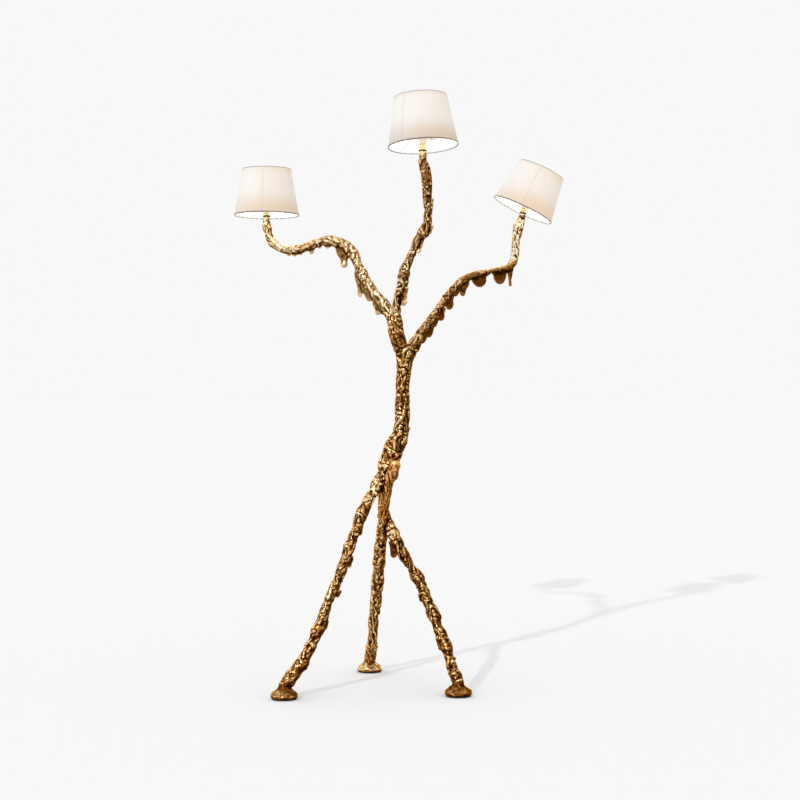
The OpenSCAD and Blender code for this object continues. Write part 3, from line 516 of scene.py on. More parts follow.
# The direction of the painted light and its share, the two depths' shares and their contrast, the
# level the webs are evened out to, the feet's height, where the stem begins, and the reach of the
# strand
patinaLook = {"lit": (-0.38, -0.22, 0.9), "paintedLightShare": 0.42, "depths": (0.75, 0.5),
              "contrast": 1.9, "web": 0.52, "foot": 60.0, "stemFoot": 1258, "stemRight": 0.335,
              "strandReach": 0.0205}


def strandShare(points, normals, look):
    # 1 on the front of the smooth strand at the hub, by the distance from its centre line
    apart = np.full(len(points), 9.0)
    for spot in routePlaces("strand", 0, 5, 60):
        apart = np.minimum(apart, np.linalg.norm(points - spot, axis=1))
    return smooth((look["strandReach"] - apart) / 0.005) * smooth((0.4 - normals[:, 1]) / 0.5)


def storePatina(surfaces, pieces, look=patinaLook):
    # the patina attribute: both depths, each by its own spread over all the castings, drawn into 0
    # to 1, for patina darker in the hollows. Painted light makes it less on faces that look up and
    # to the left, painted shade makes it more on the feet's lowest edge by the floor, and it is
    # evened out on the webs of metal under the limbs. Attribute "pale": each casting's own share of
    # lighter metal, and all of the right arm's stem, where hollows are lighter too. Attribute
    # "ochre": the strand's share
    spreads = [np.percentile(np.concatenate([s[2][k] for s in surfaces]), [10, 50, 90])
               for k in (0, 1)]
    for piece, (points, normals, sunk) in zip(pieces, surfaces):
        made = castings[piece.name]
        total = sum(share * (v - p[1]) / (p[2] - p[0])
                    for share, v, p in zip(look["depths"], sunk, spreads))
        height = points[:, 2] * 1000
        total = total * (0.5 + 0.5 * smooth((height - 20) / look["foot"]))
        patinaAndPaintedLight = 0.5 + 0.5 * np.tanh(look["contrast"] * total) + made["shade"]
        # painted light: lighter on faces that look towards the upper left, darker on faces that look
        # away
        patinaAndPaintedLight = patinaAndPaintedLight - look["paintedLightShare"] * (normals @ unit(np.array(look["lit"])))
        # painted shade: darker on the feet's lowest 13 mm, towards the floor
        patinaAndPaintedLight = patinaAndPaintedLight + 0.4 * smooth((13 - height) / 8)
        for name, start, end, share in made.get("webs", []):
            under = smooth((belowLimb(points, name, start, end) - 0.008) / 0.012)
            patinaAndPaintedLight = patinaAndPaintedLight + share * under * (look["web"] - patinaAndPaintedLight)
        stem = smooth((height - look["stemFoot"]) / 34) * (points[:, 0] > look["stemRight"])
        patinaAndPaintedLight = patinaAndPaintedLight + (0.7 * (patinaAndPaintedLight - 0.45) - 0.24) * stem
        ochre = strandShare(points, normals, look)
        storeValues(piece.data, {"patinaAndPaintedLight": np.clip(patinaAndPaintedLight + 0.03 * ochre, 0, 1),
                                 "pale": np.maximum(made["pale"], stem), "ochre": ochre})


# Limbs: route, first and last station, and which end dips below a neighbour's skin. Drips: place
# on the centre line, shift to the right, length, widening, top and tip radius, and how full the
# lower edge is. Webs: limb, first and last station, and how far the metal below is evened out.
# Feet: their middles. Shade darkens a casting, and grain scales its pits and ripples
castings = {
    "castTrunk": {
        "node": "trunk", "pale": 0.06, "shade": 0.06, "grain": 1.0,
        "limbs": [("spine", 9.92, 16.9, "start"), ("leftArm", 0, 3.05, "end"),
                  ("centreArm", 0, 3.05, "end"), ("rightArm", 0, 2.07, "end")],
        "drips": {
            "spine": [[11.2, -18, 30, 6, 9, 6, 0.3], [12.4, 14, 34, 5, 8, 5, 0.2],
                      [13.6, 12, 40, 4, 7, 4.5, 0.2], [14.6, -12, 44, 4, 7, 5, 0.2],
                      [15.4, 14, 46, 4, 8, 5, 0.2], [15.9, -18, 34, 5, 9, 6, 0.3],
                      [16.3, 20, 26, 5, 10, 7, 0.4], [17, 3, 8, 0, 11, 10, 0]],
            "leftArm": [[2, -4, 44, 8, 10, 6, 0.3]],
            "rightArm": [[1.5, 8, 28, 8, 10, 7.5, 0.5]]}},
    "castLegRear": {
        "node": "leg_rear", "pale": 0.1, "shade": -0.07, "grain": 0.8, "voxel": 0.0014,
        "limbs": [("rearLeg", 0, 10.08, "end"), ("leftLeg", 0, 2.07, "end"),
                  ("rightLeg", 0, 2.07, "end"), ("strand", 0, 6, "neither")],
        "drips": {
            "spine": [[9.7, 26, 24, 2, 8, 3.5, 0], [8.4, -12, 30, 3, 10, 7, 0.3],
                      [6.8, 12, 24, 2, 8, 5, 0], [5.2, -10, 30, 2, 8, 5, 0],
                      [3.8, 10, 26, 2, 8, 5, 0], [2.4, -10, 24, 2, 8, 6, 0]]},
        "feet": [(-94, 308)]},
    "castLegLeft": {
        "node": "leg_left", "pale": 0.08, "shade": 0.15, "grain": 0.9,
        "limbs": [("leftLeg", 1.95, 11, "start")],
        "drips": {
            "leftLeg": [[3.4, 8, 24, 4, 8, 5, 0.3], [4.9, 10, 34, 4, 8, 5, 0.3],
                        [6.4, 13, 22, 5, 8, 6, 0.3], [7.8, 10, 26, 4, 8, 5, 0.3],
                        [8.8, -8, 20, 3, 9, 6, 0.3], [9.8, 12, 24, 4, 8, 6, 0.3]]},
        "feet": [(-326, -148)]},
    "castLegRight": {
        "node": "leg_right", "pale": 0.0, "shade": 0.25, "grain": 0.9,
        "limbs": [("rightLeg", 1.95, 11, "start")],
        "drips": {
            "rightLeg": [[2.7, 7, 14, 5, 10, 6, 0.3], [2.25, -8, 50, 9, 10, 8, 0.6],
                         [5.6, -10, 26, 4, 8, 5, 0.3], [6.6, -10, 24, 4, 8, 6, 0.3],
                         [8.4, -10, 26, 4, 8, 5, 0.3], [9.4, 10, 20, 4, 8, 6, 0.3]]},
        "webs": [("rightLeg", 1.9, 3.2, 0.5)], "feet": [(166, -104)]},
    "castArmLeft": {
        "node": "arm_left", "pale": 0.8, "shade": 0.07, "grain": 0.6,
        "limbs": [("leftArm", 2.95, 15, "start")],
        "drips": {
            "leftArm": [[3.6, -4, 26, 8, 9, 7, 0.6], [4.05, -7, 44, 9, 10, 7, 0.4],
                        [4.7, -6, 34, 11, 10, 8, 0.6], [5.2, -3, 40, 10, 10, 7, 0.4],
                        [5.8, -6, 76, 9, 8, 5, 0.15], [5.5, -2, 50, 15, 9, 7, 0.6],
                        [7.6, -2, 44, 27, 9, 8, 0.7], [7.7, 0, 68, 19, 10, 9, 0.0],
                        [8.9, 2, 24, 10, 9, 7, 0.4], [10, 0, 28, 8, 9, 6, 0.3],
                        [11.2, 0, 20, 7, 8, 6, 0.3], [12.8, -6, 16, 3, 9, 5, 0]]},
        "webs": [("leftArm", 3.2, 11.5, 0.3)]},
    "castArmCentre": {
        "node": "arm_centre", "pale": 0.36, "shade": 0.06, "grain": 0.7,
        "limbs": [("centreArm", 2.95, 15, "start")],
        "drips": {
            "centreArm": [[4.9, 4, 54, 7, 11, 9, 0.5], [6.2, -8, 22, 5, 9, 6, 0.3],
                          [8.2, 2, 40, 7, 8, 6, 0.3], [9.3, 9, 26, 6, 9, 7, 0.3],
                          [11, 12, 32, 3, 6, 4.5, 0.2], [12.4, -8, 30, 3, 6, 4.5, 0.2]]}},
    "castArmRight": {
        "node": "arm_right", "pale": 0.12, "shade": 0.19, "grain": 0.6,
        "limbs": [("rightArm", 1.95, 14, "start")],
        "drips": {
            "rightArm": [[2.3, 4, 30, 12, 9, 7, 0.8], [2.8, 4, 38, 13, 9, 7, 0.6],
                         [3.3, 4, 32, 13, 9, 7, 0.8], [3.9, 4, 40, 14, 8, 7, 0.6],
                         [4.7, 0, 46, 16, 9, 7, 0.6], [5.3, 0, 32, 15, 8, 6, 0.8],
                         [5.9, 0, 50, 18, 8, 6.5, 0.3], [6.9, 0, 42, 24, 9, 7, 1.0],
                         [8.2, 0, 47, 23, 9, 8, 1.0], [9, 2, 60, 8, 7, 4, 0],
                         [11.6, -9, 24, 3, 7, 5, 0.2]]},
        "webs": [("rightArm", 2.0, 9.3, 0.62)]},
}
# The rear leg with the hub is the largest casting, so its own voxels are larger
voxelSize = {"full": 0.0013, "quick": 0.0019}


def makeCasting(number, name, made):
    skins = [limbSkin(*limb) for limb in made["limbs"]]
    for limb in made["limbs"]:
        skins += limbRuns(*limb[:3])
    for limbName, drips in made["drips"].items():
        skins += limbDrips(limbName, drips)
    skins += [footSkin(place, 60 + number) for place in made.get("feet", [])]
    voxel = made.get("voxel", voxelSize["full"])
    return declare(fuse(name, skins, voxel), "stand", made["node"])


bronzePieces, surfaces = [], []
for number, (name, made) in enumerate(castings.items()):
    piece = makeCasting(number, name, made)
    surfaces.append(castSurface(piece, 70 + number, made["grain"]))
    bronzePieces.append(piece)
    print("casting", name, len(piece.data.polygons), "faces")
storePatina(surfaces, bronzePieces)

# Lights of the lamp. Each shade: its lean and the way it leans, its seam's angle, the neck's extra
# length, and how much painted shade darkens its lower half and warms its cloth
shadeLooks = {
    "left": {"lean": 0.0, "aim": 0.0, "seam": -96.0, "drop": 4.0, "paintedLowShade": 0.1, "paintedWarmShade": 0.36},
    "centre": {"lean": 5.0, "aim": 132.0, "seam": -261.5, "drop": 14.0, "paintedLowShade": 0.23, "paintedWarmShade": 0.2},
    "right": {"lean": 25.5, "aim": 0.0, "seam": -100.0, "drop": 9.0, "paintedLowShade": 0.04, "paintedWarmShade": 0.38},
}
lightLook = {"flangeTop": -6.0, "holderFoot": -22.0, "pivotRise": 30.0, "globe": 45.0,
             "globeHeight": 48.0, "glassFoot": 15.0, "bore": 5.2}


def leaning(aim, lean):
    # axes of a light: local Z leans towards the aim, local Y is the line of its pivots
    a, b = np.radians(aim), np.radians(lean)
    return np.array([[np.cos(a) * np.cos(b), -np.sin(a), np.cos(a) * np.sin(b)],
                     [np.sin(a) * np.cos(b), np.cos(a), np.sin(a) * np.sin(b)],
                     [-np.sin(b), 0, np.cos(b)]])


def lightPlace(side):
    turn = joints["shade_turn_" + side]
    lean = np.degrees(np.arccos(turn["axis"][2]))
    return np.array(turn["pos_m"]) * 1000, leaning(shadeLooks[side]["aim"], lean)


def bulbMiddle(side):
    origin, axes = lightPlace(side)
    return origin + lightLook["globeHeight"] * axes[:, 2]


def lightPiece(name, side, points, faces, replaced):
    # a piece worked out round its own upright axis, moved to its light's place
    origin, axes = lightPlace(side)
    piece = meshObject(name + "_" + side, (points.reshape(-1, 3) @ axes.T + origin) / 1000, faces)
    return declare(piece, "stand", replaced + "_" + side)


def roundedProfile(corners, radius, steps=4):
    # replaces every corner of a closed outline by a short arc made of a quadratic blend
    corners = np.asarray(corners, float)
    before, after = np.roll(corners, 1, 0), np.roll(corners, -1, 0)
    reach = np.minimum(radius, 0.45 * np.minimum(np.linalg.norm(corners - before, axis=1),
                                                 np.linalg.norm(after - corners, axis=1)))[:, None]
    start = corners + unit(before - corners) * reach
    end = corners + unit(after - corners) * reach
    t = np.linspace(0, 1, steps)[None, :, None]
    arc = (1 - t) ** 2 * start[:, None] + 2 * t * (1 - t) * corners[:, None] + t ** 2 * end[:, None]
    return arc.reshape(-1, 2)


def turnedPiece(name, side, corners, rounding, replaced):
    # a ring-shaped turned piece: a rounded closed outline carried round the lampholder's axis
    outline = roundedProfile(corners, rounding)
    grid = carriedRound(outline[:, :1], outline[:, 1:], anglesRound(96))
    faces = gridFaces(*grid.shape[:2], closedRows=True).tolist()
    return lightPiece(name, side, grid, faces, replaced)


def collarOutline(bore, tip):
    return [[bore, tip], [11.4, tip], [12, tip + 0.8], [12, tip + 3], [11.2, tip + 4],
            [bore, tip + 4]]


def neckOutline(bore, tip, foot):
    # brass tube with a roll at its foot, a narrow waist and a stepped ring on top
    return [[bore, tip + 4], [9.6, tip + 4], [9.6, tip + 5.2], [8.75, tip + 5.6],
            [8.75, foot - 4.6], [8.2, foot - 4.2], [8.2, foot - 3.6], [9.3, foot - 3.2],
            [10, foot - 2.6], [10, foot - 0.8], [9.2, foot], [bore, foot]]


def holderOutline(bore, foot, flange):
    # moulded lower cap with a shoulder, flange, and the threaded body as shallow rounded ribs
    ribs = []
    for k in range(9):
        z = flange + 2.2 + 2.7 * k
        ribs += [[13.2, z], [14, z + 0.8], [14, z + 1.6]]
    return ([[bore, foot], [9.6, foot], [10.9, foot + 1.4], [11, foot + 9.5],
             [12.4, flange - 4.4], [13, flange - 3], [16.2, flange - 3], [17, flange - 2.2],
             [17, flange - 0.6], [16.2, flange], [13.4, flange]] + ribs
            + [[13.2, flange + 26.6], [12.8, flange + 27], [8.75, flange + 27],
               [8.75, flange - 1.2], [bore, flange - 1.2]])


ringLook = {"inner": 14.3, "outer": 21.0, "above": 2.2, "high": 6.0, "scallops": 12, "dip": 1.15,
            "columns": 288}


def retainingRing(side, look=ringLook):
    # the ring's outline carried round, its outer wall drawn in at the finger scallops
    low, r = lightLook["flangeTop"] + look["above"], look["outer"]
    outline = roundedProfile([[look["inner"], low], [r - 0.4, low], [r, low + 1], [r, low + 5],
                              [r - 0.4, low + look["high"]],
                              [look["inner"], low + look["high"]]], 0.6, 5)
    turn = anglesRound(look["columns"])
    dip = look["dip"] * np.clip(np.cos(look["scallops"] * turn) * 1.6 - 0.6, 0, 1)
    radius = outline[:, :1] - smooth((outline[:, :1] - 16) / 4) * dip[None]
    grid = carriedRound(radius, outline[:, 1:], turn)
    faces = gridFaces(*grid.shape[:2], closedRows=True).tolist()
    return lightPiece("retainingRing", side, grid, faces, "retaining_ring")


def bulbGlass(side, look=lightLook):
    # golf-ball outline: a sphere that runs down through a soft shoulder into the cap
    r, z = look["globe"] / 2, look["globeHeight"]
    arc = np.radians(np.linspace(-50, 89.2, 46))
    ball = np.stack([r * np.cos(arc), z + r * np.sin(arc)], 1)
    t = np.linspace(0, 1, 12)[:-1, None]
    foot = np.array([6.5, look["glassFoot"] + 0.1])
    bend = np.array([6.9, look["glassFoot"] + 8.0])
    shoulder = (1 - t) ** 2 * foot + 2 * t * (1 - t) * bend + t ** 2 * ball[0]
    profile = np.concatenate([shoulder, ball])
    points, parts = cappedSkin(carriedRound(profile[:, :1], profile[:, 1:], anglesRound(72)))
    faces = parts[0].tolist() + parts[1].tolist()
    return lightPiece("bulbGlass", side, points, faces, "bulb_glass")


turned = {"collar": [], "neck": [], "holder": [], "ring": [], "glass": []}
for side in sides:
    tip = -lightLook["pivotRise"] - shadeLooks[side]["drop"]
    foot, flange, bore = [lightLook[key] for key in ("holderFoot", "flangeTop", "bore")]
    turned["collar"].append(turnedPiece("tipCollar", side, collarOutline(bore, tip), 0.7,
                                        "collar"))
    turned["neck"].append(turnedPiece("brassNeck", side, neckOutline(bore, tip, foot), 0.5,
                                      "neck"))
    turned["holder"].append(turnedPiece("creamHolder", side, holderOutline(bore, foot, flange),
                                        0.5, "lampholder"))
    turned["ring"].append(retainingRing(side))
    turned["glass"].append(bulbGlass(side))
print("necks, lampholders and bulbs made")

# The shades' sizes are in mm, and the girth that the weave is laid along is in metres
clothLook = {"lowRadius": 100.0, "topRadius": 76.0, "height": 142.0, "thick": 0.9, "hem": 9.0,
             "hemProud": 0.45, "lapWidth": 9.0, "lapProud": 0.5, "pucker": 0.35, "columns": 480,
             "girth": 0.5529, "lowEdge": 3.4, "topEdge": 2.4, "brightness": 7600}


def clothShape(side, look):
    # a cone's wall with thickness: up the outside, over the top hem, down the inside and back
    # under the lower hem. Hems and the lapped seam stand proud, and soft puckers run up the
    # cloth, strongest beside the seam. Told with it, for one wall: where the cloth is double, and
    # how many mm each point is from the seam's middle
    h, hem, bend = look["height"], look["hem"], np.array([-0.8, 0, 0.8])
    z = np.unique(np.concatenate([np.linspace(0, h, 61), hem + bend, h - hem + bend,
                                  [0.4, 1, h - 1, h - 0.4]]))[:, None]
    turn = anglesRound(look["columns"])
    cone = look["lowRadius"] + (look["topRadius"] - look["lowRadius"]) * z / h
    fromSeam = (turn - np.radians(shadeLooks[side]["seam"]) + np.pi) % (2 * np.pi) - np.pi
    lap = smooth((look["lapWidth"] / 2 - np.abs(fromSeam * cone)) / 1.2 + 0.5)
    hems = smooth((hem - z) / 1.2 + 0.5) + smooth((z - h + hem) / 1.2 + 0.5)
    rim = smooth(z / 1.1) * smooth((h - z) / 1.1)
    middle = np.sin(np.pi * z / h)
    around = np.stack([np.cos(turn) * 40, np.sin(turn) * 40, 0 * turn], -1)[None]
    upwards = [0, 0, 1] * z[..., None]
    puckers = cloudField(around + upwards * 0.04, 3.2, 5 + sides.index(side))
    puckers = puckers * (0.35 + 0.65 * np.exp(-(fromSeam / 0.55) ** 2)) * middle ** 0.4
    slack = 0.5 * cloudField(around + upwards * 0.3, 18, 9)
    cloth = cone - 0.55 + look["pucker"] * puckers + 0.5 * slack * middle
    outer = cloth + (look["hemProud"] * hems + look["lapProud"] * lap) * (0.3 + 0.7 * rim)
    inner = cloth - look["thick"] + 0.25 - 0.25 * hems * rim + 0.2 * (1 - rim)
    grid = np.concatenate([carriedRound(outer, z, turn), carriedRound(inner, z, turn)[::-1]])
    return grid, np.maximum(hems + 0 * cone * turn, lap), fromSeam * cone


def clothTones(side, grid, points, axes, double, seamAway, look):
    # glow: the bulb's light by the square of its distance and the cosine of its angle, raised
    # towards the right as painted light. Painted shade makes the cloth warmer towards the right and
    # the lower edge, where less daylight falls on it, less so where the bulb is near, and darker in
    # its lower half. Dark bands run along the lower and top edges, with a faint dark line beside
    # each edge of the lapped seam
    facts = shadeLooks[side]
    toBulb = bulbMiddle(side) - points * 1000
    distance = np.linalg.norm(toBulb, axis=1)
    outward = unit((grid * [1, 1, 0]).reshape(-1, 3) @ axes.T)
    lit = -(toBulb * outward).sum(1) / distance ** 3 * look["brightness"]
    toRight = outward[:, 0] - 0.25 * outward[:, 1]
    low = 1 - np.clip(grid[..., 2].ravel() / look["height"], 0, 1)
    # painted shade: a warm tint towards the right and the lower edge, less where the bulb is near
    paintedWarmShade = smooth(facts["paintedWarmShade"] + 0.5 * toRight + 0.42 * low)
    paintedWarmShade = paintedWarmShade * (1 - 0.6 * smooth((lit - 0.45) / 0.5))
    # painted shade: the cloth's lower half darkened towards its lower edge
    paintedLowShade = facts["paintedLowShade"] * np.clip((low - 0.5) / 0.4, 0, 1)
    # dark bands along the lower and top edges, and a faint dark line beside each edge of the lap
    edge = np.maximum(smooth(look["lowEdge"] - grid[..., 2]),
                      smooth(grid[..., 2] - look["height"] + look["topEdge"]))
    lapEdgeLine = smooth(2 - np.abs(np.concatenate([seamAway] * 2) - look["lapWidth"] / 2))
    tones = {"glow": lit * (1 + 0.3 * toRight), "paintedWarmShade": paintedWarmShade, "paintedLowShade": paintedLowShade,
             "edge": np.maximum(edge, 0.12 * lapEdgeLine), "hem": np.concatenate([double] * 2)}
    return {key: np.clip(values, 0, 1.4) for key, values in tones.items()}


def layWeave(mesh, faces, grid, girth):
    # UV map in metres: round the shade, and up it
    columns = grid.shape[1]
    corner = np.empty(len(mesh.loops), np.int32)
    mesh.loops.foreach_get("vertex_index", corner)
    column = corner % columns
    firstColumn = np.repeat(faces[:, 0] % columns, 4)
    column = np.where((firstColumn == columns - 1) & (column == 0), columns, column)
    uv = np.stack([column / columns * girth, grid[..., 2].ravel()[corner] / 1000], 1)
    layer = mesh.uv_layers.new(name="weave")
    layer.data.foreach_set("uv", uv.astype(np.float32).ravel())


def shadeCloth(side, look=clothLook):
    # one shade: outer wall first, then the lining, which is its second material
    grid, double, seamAway = clothShape(side, look)
    origin = np.array(joints["shade_tilt_" + side]["pos_m"]) * 1000
    axes = leaning(shadeLooks[side]["aim"], shadeLooks[side]["lean"])
    local = grid - [0, 0, lightLook["pivotRise"]]
    points = (local.reshape(-1, 3) @ axes.T + origin) / 1000
    faces = gridFaces(*grid.shape[:2], closedRows=True)
    piece = meshObject("linenShade_" + side, points, faces.tolist())
    ringOf = faces[:, 0] // grid.shape[1]
    inside = (ringOf >= len(grid) // 2).astype(np.int32)
    piece.data.polygons.foreach_set("material_index", inside)
    tones = clothTones(side, grid, points, axes, double, seamAway, look)
    storeValues(piece.data, tones)
    layWeave(piece.data, faces, grid, look["girth"])
    declare(piece, "shade_" + side, "shade_cloth_" + side)
    return piece


shades = [shadeCloth(side) for side in sides]
print("shades made")


# Materials
def material(name):
    made = bpy.data.materials.new(name)
    made.use_nodes = True
    tree = made.node_tree
    return made, tree, tree.nodes["Principled BSDF"]


def feed(tree, node, values):
    # links each input to another node's output, or sets it to a number, a vector or a colour
    for key, value in values.items():
        socket = node.inputs[key]
        if isinstance(value, bpy.types.NodeSocket):
            tree.links.new(value, socket)
        else:
            socket.default_value = value + (1,) if socket.type == "RGBA" else value


def addNode(tree, kind, values, **settings):
    node = tree.nodes.new("ShaderNode" + kind)
    for key, value in settings.items():
        setattr(node, key, value)
    feed(tree, node, values)
    return node


def ramp(tree, source, stops):
    # stops: place and colour, or place and one number for a grey
    node = addNode(tree, "ValToRGB", {"Fac": source})
    elements = node.color_ramp.elements
    for k, (place, colour) in enumerate(stops):
        element = elements[k] if k < 2 else elements.new(place)
        element.position = place
        element.color = colour + (1,) if isinstance(colour, tuple) else (colour,) * 3 + (1,)
    return node.outputs["Color"]


def noise(tree, scale, vector, detail, roughness, stretch=None):
    if stretch:
        vector = addNode(tree, "Mapping", {"Scale": stretch, "Vector": vector}).outputs["Vector"]
    return addNode(tree, "TexNoise", {"Scale": scale, "Detail": detail, "Roughness": roughness,
                                      "Vector": vector}).outputs["Fac"]


def objectPlace(tree):
    return addNode(tree, "TexCoord", {}).outputs["Object"]


def weavePlace(tree):
    return addNode(tree, "UVMap", {}, uv_map="weave").outputs["UV"]


def attributeValue(tree, name):
    return addNode(tree, "Attribute", {}, attribute_name=name).outputs["Fac"]


def arithmetic(tree, operation, *values):
    return addNode(tree, "Math", dict(enumerate(values)), operation=operation).outputs["Value"]


def blendColour(tree, share, a, b, mode="MIX"):
    # the mix node keeps its two colours in its inputs 6 and 7, and their blend in its output 2
    node = addNode(tree, "Mix", {}, data_type="RGBA", blend_type=mode)
    feed(tree, node, {0: share, 6: a, 7: b})
    return node.outputs[2]


def bump(tree, height, distance, strength):
    return addNode(tree, "Bump", {"Distance": distance, "Strength": strength,
                                  "Height": height}).outputs["Normal"]


# Colours from the brightest ridges to the deepest hollows, for most of the metal and the pale part.
# Each tint: its patches' scale and stretch, the ramp that lays them out, and its colour
bronzeLook = {
    "ramp": [(0.0, (1.0, 0.79, 0.42)), (0.2, (0.52, 0.29, 0.092)), (0.4, (0.26, 0.11, 0.022)),
             (0.6, (0.145, 0.047, 0.006)), (0.8, (0.06, 0.015, 0.0013)),
             (1.0, (0.013, 0.003, 0.0004))],
    "paleRamp": [(0.0, (1.0, 0.95, 0.76)), (0.2, (0.86, 0.7, 0.45)), (0.4, (0.5, 0.32, 0.135)),
                 (0.6, (0.27, 0.15, 0.047)), (0.8, (0.09, 0.038, 0.008)),
                 (1.0, (0.02, 0.007, 0.0015))],
    "tints": [(17, None, [(0.42, 0), (0.7, 1)], (1.0, 0.66, 0.42)),
              (23, (1.3, 1.3, 0.8), [(0.58, 0), (0.78, 0.5)], (0.88, 0.95, 0.55))],
    "rough": [(0.1, 0.2), (0.8, 0.45)], "edge": (1.0, 0.66, 0.34), "ochre": (0.86, 0.5, 0.23),
}


def bronzeMaterial(look=bronzeLook):
    # golden ridges, ochre flanks and nearly black hollows, cloudy with reddish and greenish tints
    made, tree, shader = material("agedBronze")
    place = objectPlace(tree)
    cloud = arithmetic(tree, "MULTIPLY_ADD", noise(tree, 34, place, 4, 0.6), 0.5, -0.25)
    fine = arithmetic(tree, "MULTIPLY_ADD", noise(tree, 260, place, 3, 0.6), 0.7, -0.35)
    # the patina attribute also carries painted light from the upper left and painted shade by the
    # floor
    depth = arithmetic(tree, "ADD", arithmetic(tree, "ADD", attributeValue(tree, "patinaAndPaintedLight"), cloud),
                       fine)
    pale = ramp(tree, depth, look["paleRamp"])
    colour = blendColour(tree, attributeValue(tree, "pale"), ramp(tree, depth, look["ramp"]), pale)
    for scale, stretch, stops, tint in look["tints"]:
        patches = ramp(tree, noise(tree, scale, place, 3, 0.5, stretch), stops)
        tinted = blendColour(tree, 0.5, colour, tint, "MULTIPLY")
        colour = blendColour(tree, patches, colour, tinted)
    golden = blendColour(tree, 1.0, pale, look["ochre"], "MULTIPLY")
    share = arithmetic(tree, "MULTIPLY", attributeValue(tree, "ochre"), 0.85)
    cells = addNode(tree, "TexVoronoi", {"Scale": 240, "Vector": place}).outputs["Distance"]
    grain = arithmetic(tree, "ADD", noise(tree, 420, place, 4, 0.6), cells)
    feed(tree, shader, {"Base Color": blendColour(tree, share, colour, golden), "Metallic": 1.0,
                        "Roughness": ramp(tree, depth, look["rough"]),
                        "Specular Tint": look["edge"], "Normal": bump(tree, grain, 0.0006, 0.6)})
    return made


# Plain metals and plastics: scale of the cloud in their colour and where its ramp lies, how rough
# they get at both ends as shares, and the scale, detail and roughness of the grain and its bump
finishKinds = {
    "metal": {"cloud": 120, "stops": (0.3, 0.7), "rough": (1.25, 0.8), "grain": (900, 3, 0.6),
              "bump": (0.0002, 0.35), "metallic": 1.0},
    "plastic": {"cloud": 90, "stops": (0.32, 0.68), "rough": (1.15, 0.9), "grain": (1500, 2, 0.5),
                "bump": (0.0001, 0.3), "metallic": 0.0},
}


def plainFinish(kind, name, colour, roughness, variation, coat=0.0, brushed=None):
    # cloudy between the colour and a darker one, with a fine grain that a brushed piece stretches
    look = finishKinds[kind]
    made, tree, shader = material(name)
    place = objectPlace(tree)
    cloud = noise(tree, look["cloud"], place, 4, 0.6, brushed)
    tones = (tuple(c * (1 - 2 * variation) for c in colour), colour)
    rough = [roughness * share for share in look["rough"]]
    scale, detail, grainRough = look["grain"]
    grain = noise(tree, scale, place, detail, grainRough, brushed)
    feed(tree, shader, {"Base Color": ramp(tree, cloud, list(zip(look["stops"], tones))),
                        "Roughness": ramp(tree, cloud, list(zip((0.3, 0.7), rough))),
                        "Metallic": look["metallic"], "Coat Weight": coat,
                        "Normal": bump(tree, grain, *look["bump"])})
    return made


linenLook = {"cool": (0.8, 0.785, 0.775), "paintedWarmShade": (0.79, 0.62, 0.46), "slub": (0.9, 0.88, 0.85),
             "cloud": (0.96, 0.95, 0.93), "hem": (0.74, 0.7, 0.63), "paintedLowShade": (0.05, 0.03, 0.02),
             "edge": (0.1, 0.085, 0.072), "thread": 62.5, "strength": 0.125,
             "glow": [(0.0, (0.25, 0.12, 0.05)), (0.4, (0.9, 0.7, 0.5)), (1.0, (1.0, 0.98, 0.95))]}


def linenMaterial(look=linenLook):
    # plain weave of two sets of threads with slubs, in the shade's own UV map in metres, and the
    # bulb's light coming through where it is near
    made, tree, shader = material("shadeLinen")
    uv = weavePlace(tree)
    threads = [addNode(tree, "TexWave", {"Scale": look["thread"], "Distortion": 0.6, "Detail": 2,
                                         "Detail Scale": 1.5, "Vector": uv},
                       bands_direction=direction).outputs["Fac"] for direction in ("X", "Y")]
    slub = arithmetic(tree, "ADD", noise(tree, 1, uv, 4, 0.6, (60, 1500, 1)),
                      noise(tree, 1, uv, 4, 0.6, (1500, 45, 1)))
    white = (1.0, 1.0, 1.0)
    slubTone = ramp(tree, arithmetic(tree, "MULTIPLY", slub, 0.5),
                    [(0.36, look["slub"]), (0.6, white)])
    cloud = ramp(tree, noise(tree, 1, uv, 3, 0.5, (9, 7, 1)), [(0.35, look["cloud"]), (0.65, white)])
    hem = attributeValue(tree, "hem")
    # painted shade: the warm tint blended over the cloth's own colour
    tone = blendColour(tree, attributeValue(tree, "paintedWarmShade"), look["cool"], look["paintedWarmShade"])
    tone = blendColour(tree, 1.0, tone, slubTone, "MULTIPLY")
    tone = blendColour(tree, 1.0, tone, cloud, "MULTIPLY")
    tone = blendColour(tree, arithmetic(tree, "MULTIPLY", hem, 0.35), tone, look["hem"])
    # the painted shade of the lower half, then the dark bands along the edges
    for key in ("paintedLowShade", "edge"):
        tone = blendColour(tree, attributeValue(tree, key), tone, look[key])
    hemShade = arithmetic(tree, "SUBTRACT", 1.0, arithmetic(tree, "MULTIPLY", hem, 0.45))
    glow = arithmetic(tree, "MULTIPLY", attributeValue(tree, "glow"), hemShade)
    height = arithmetic(tree, "ADD", arithmetic(tree, "ADD", *threads),
                        arithmetic(tree, "MULTIPLY", slub, 1.6))
    feed(tree, shader, {"Base Color": tone, "Roughness": 0.92, "Sheen Weight": 0.25,
                        "Sheen Roughness": 0.5, "Emission Color": ramp(tree, glow, look["glow"]),
                        "Emission Strength": look["strength"],
                        "Normal": bump(tree, height, 0.00025, 0.7)})
    return made


liningLook = {"tone": [(0.3, (0.84, 0.83, 0.81)), (0.7, (0.9, 0.89, 0.88))], "strength": 0.36,
              "glow": [(0.0, (0.3, 0.28, 0.26)), (0.3, (0.8, 0.77, 0.73)), (1.0, (1.0, 0.98, 0.95))]}


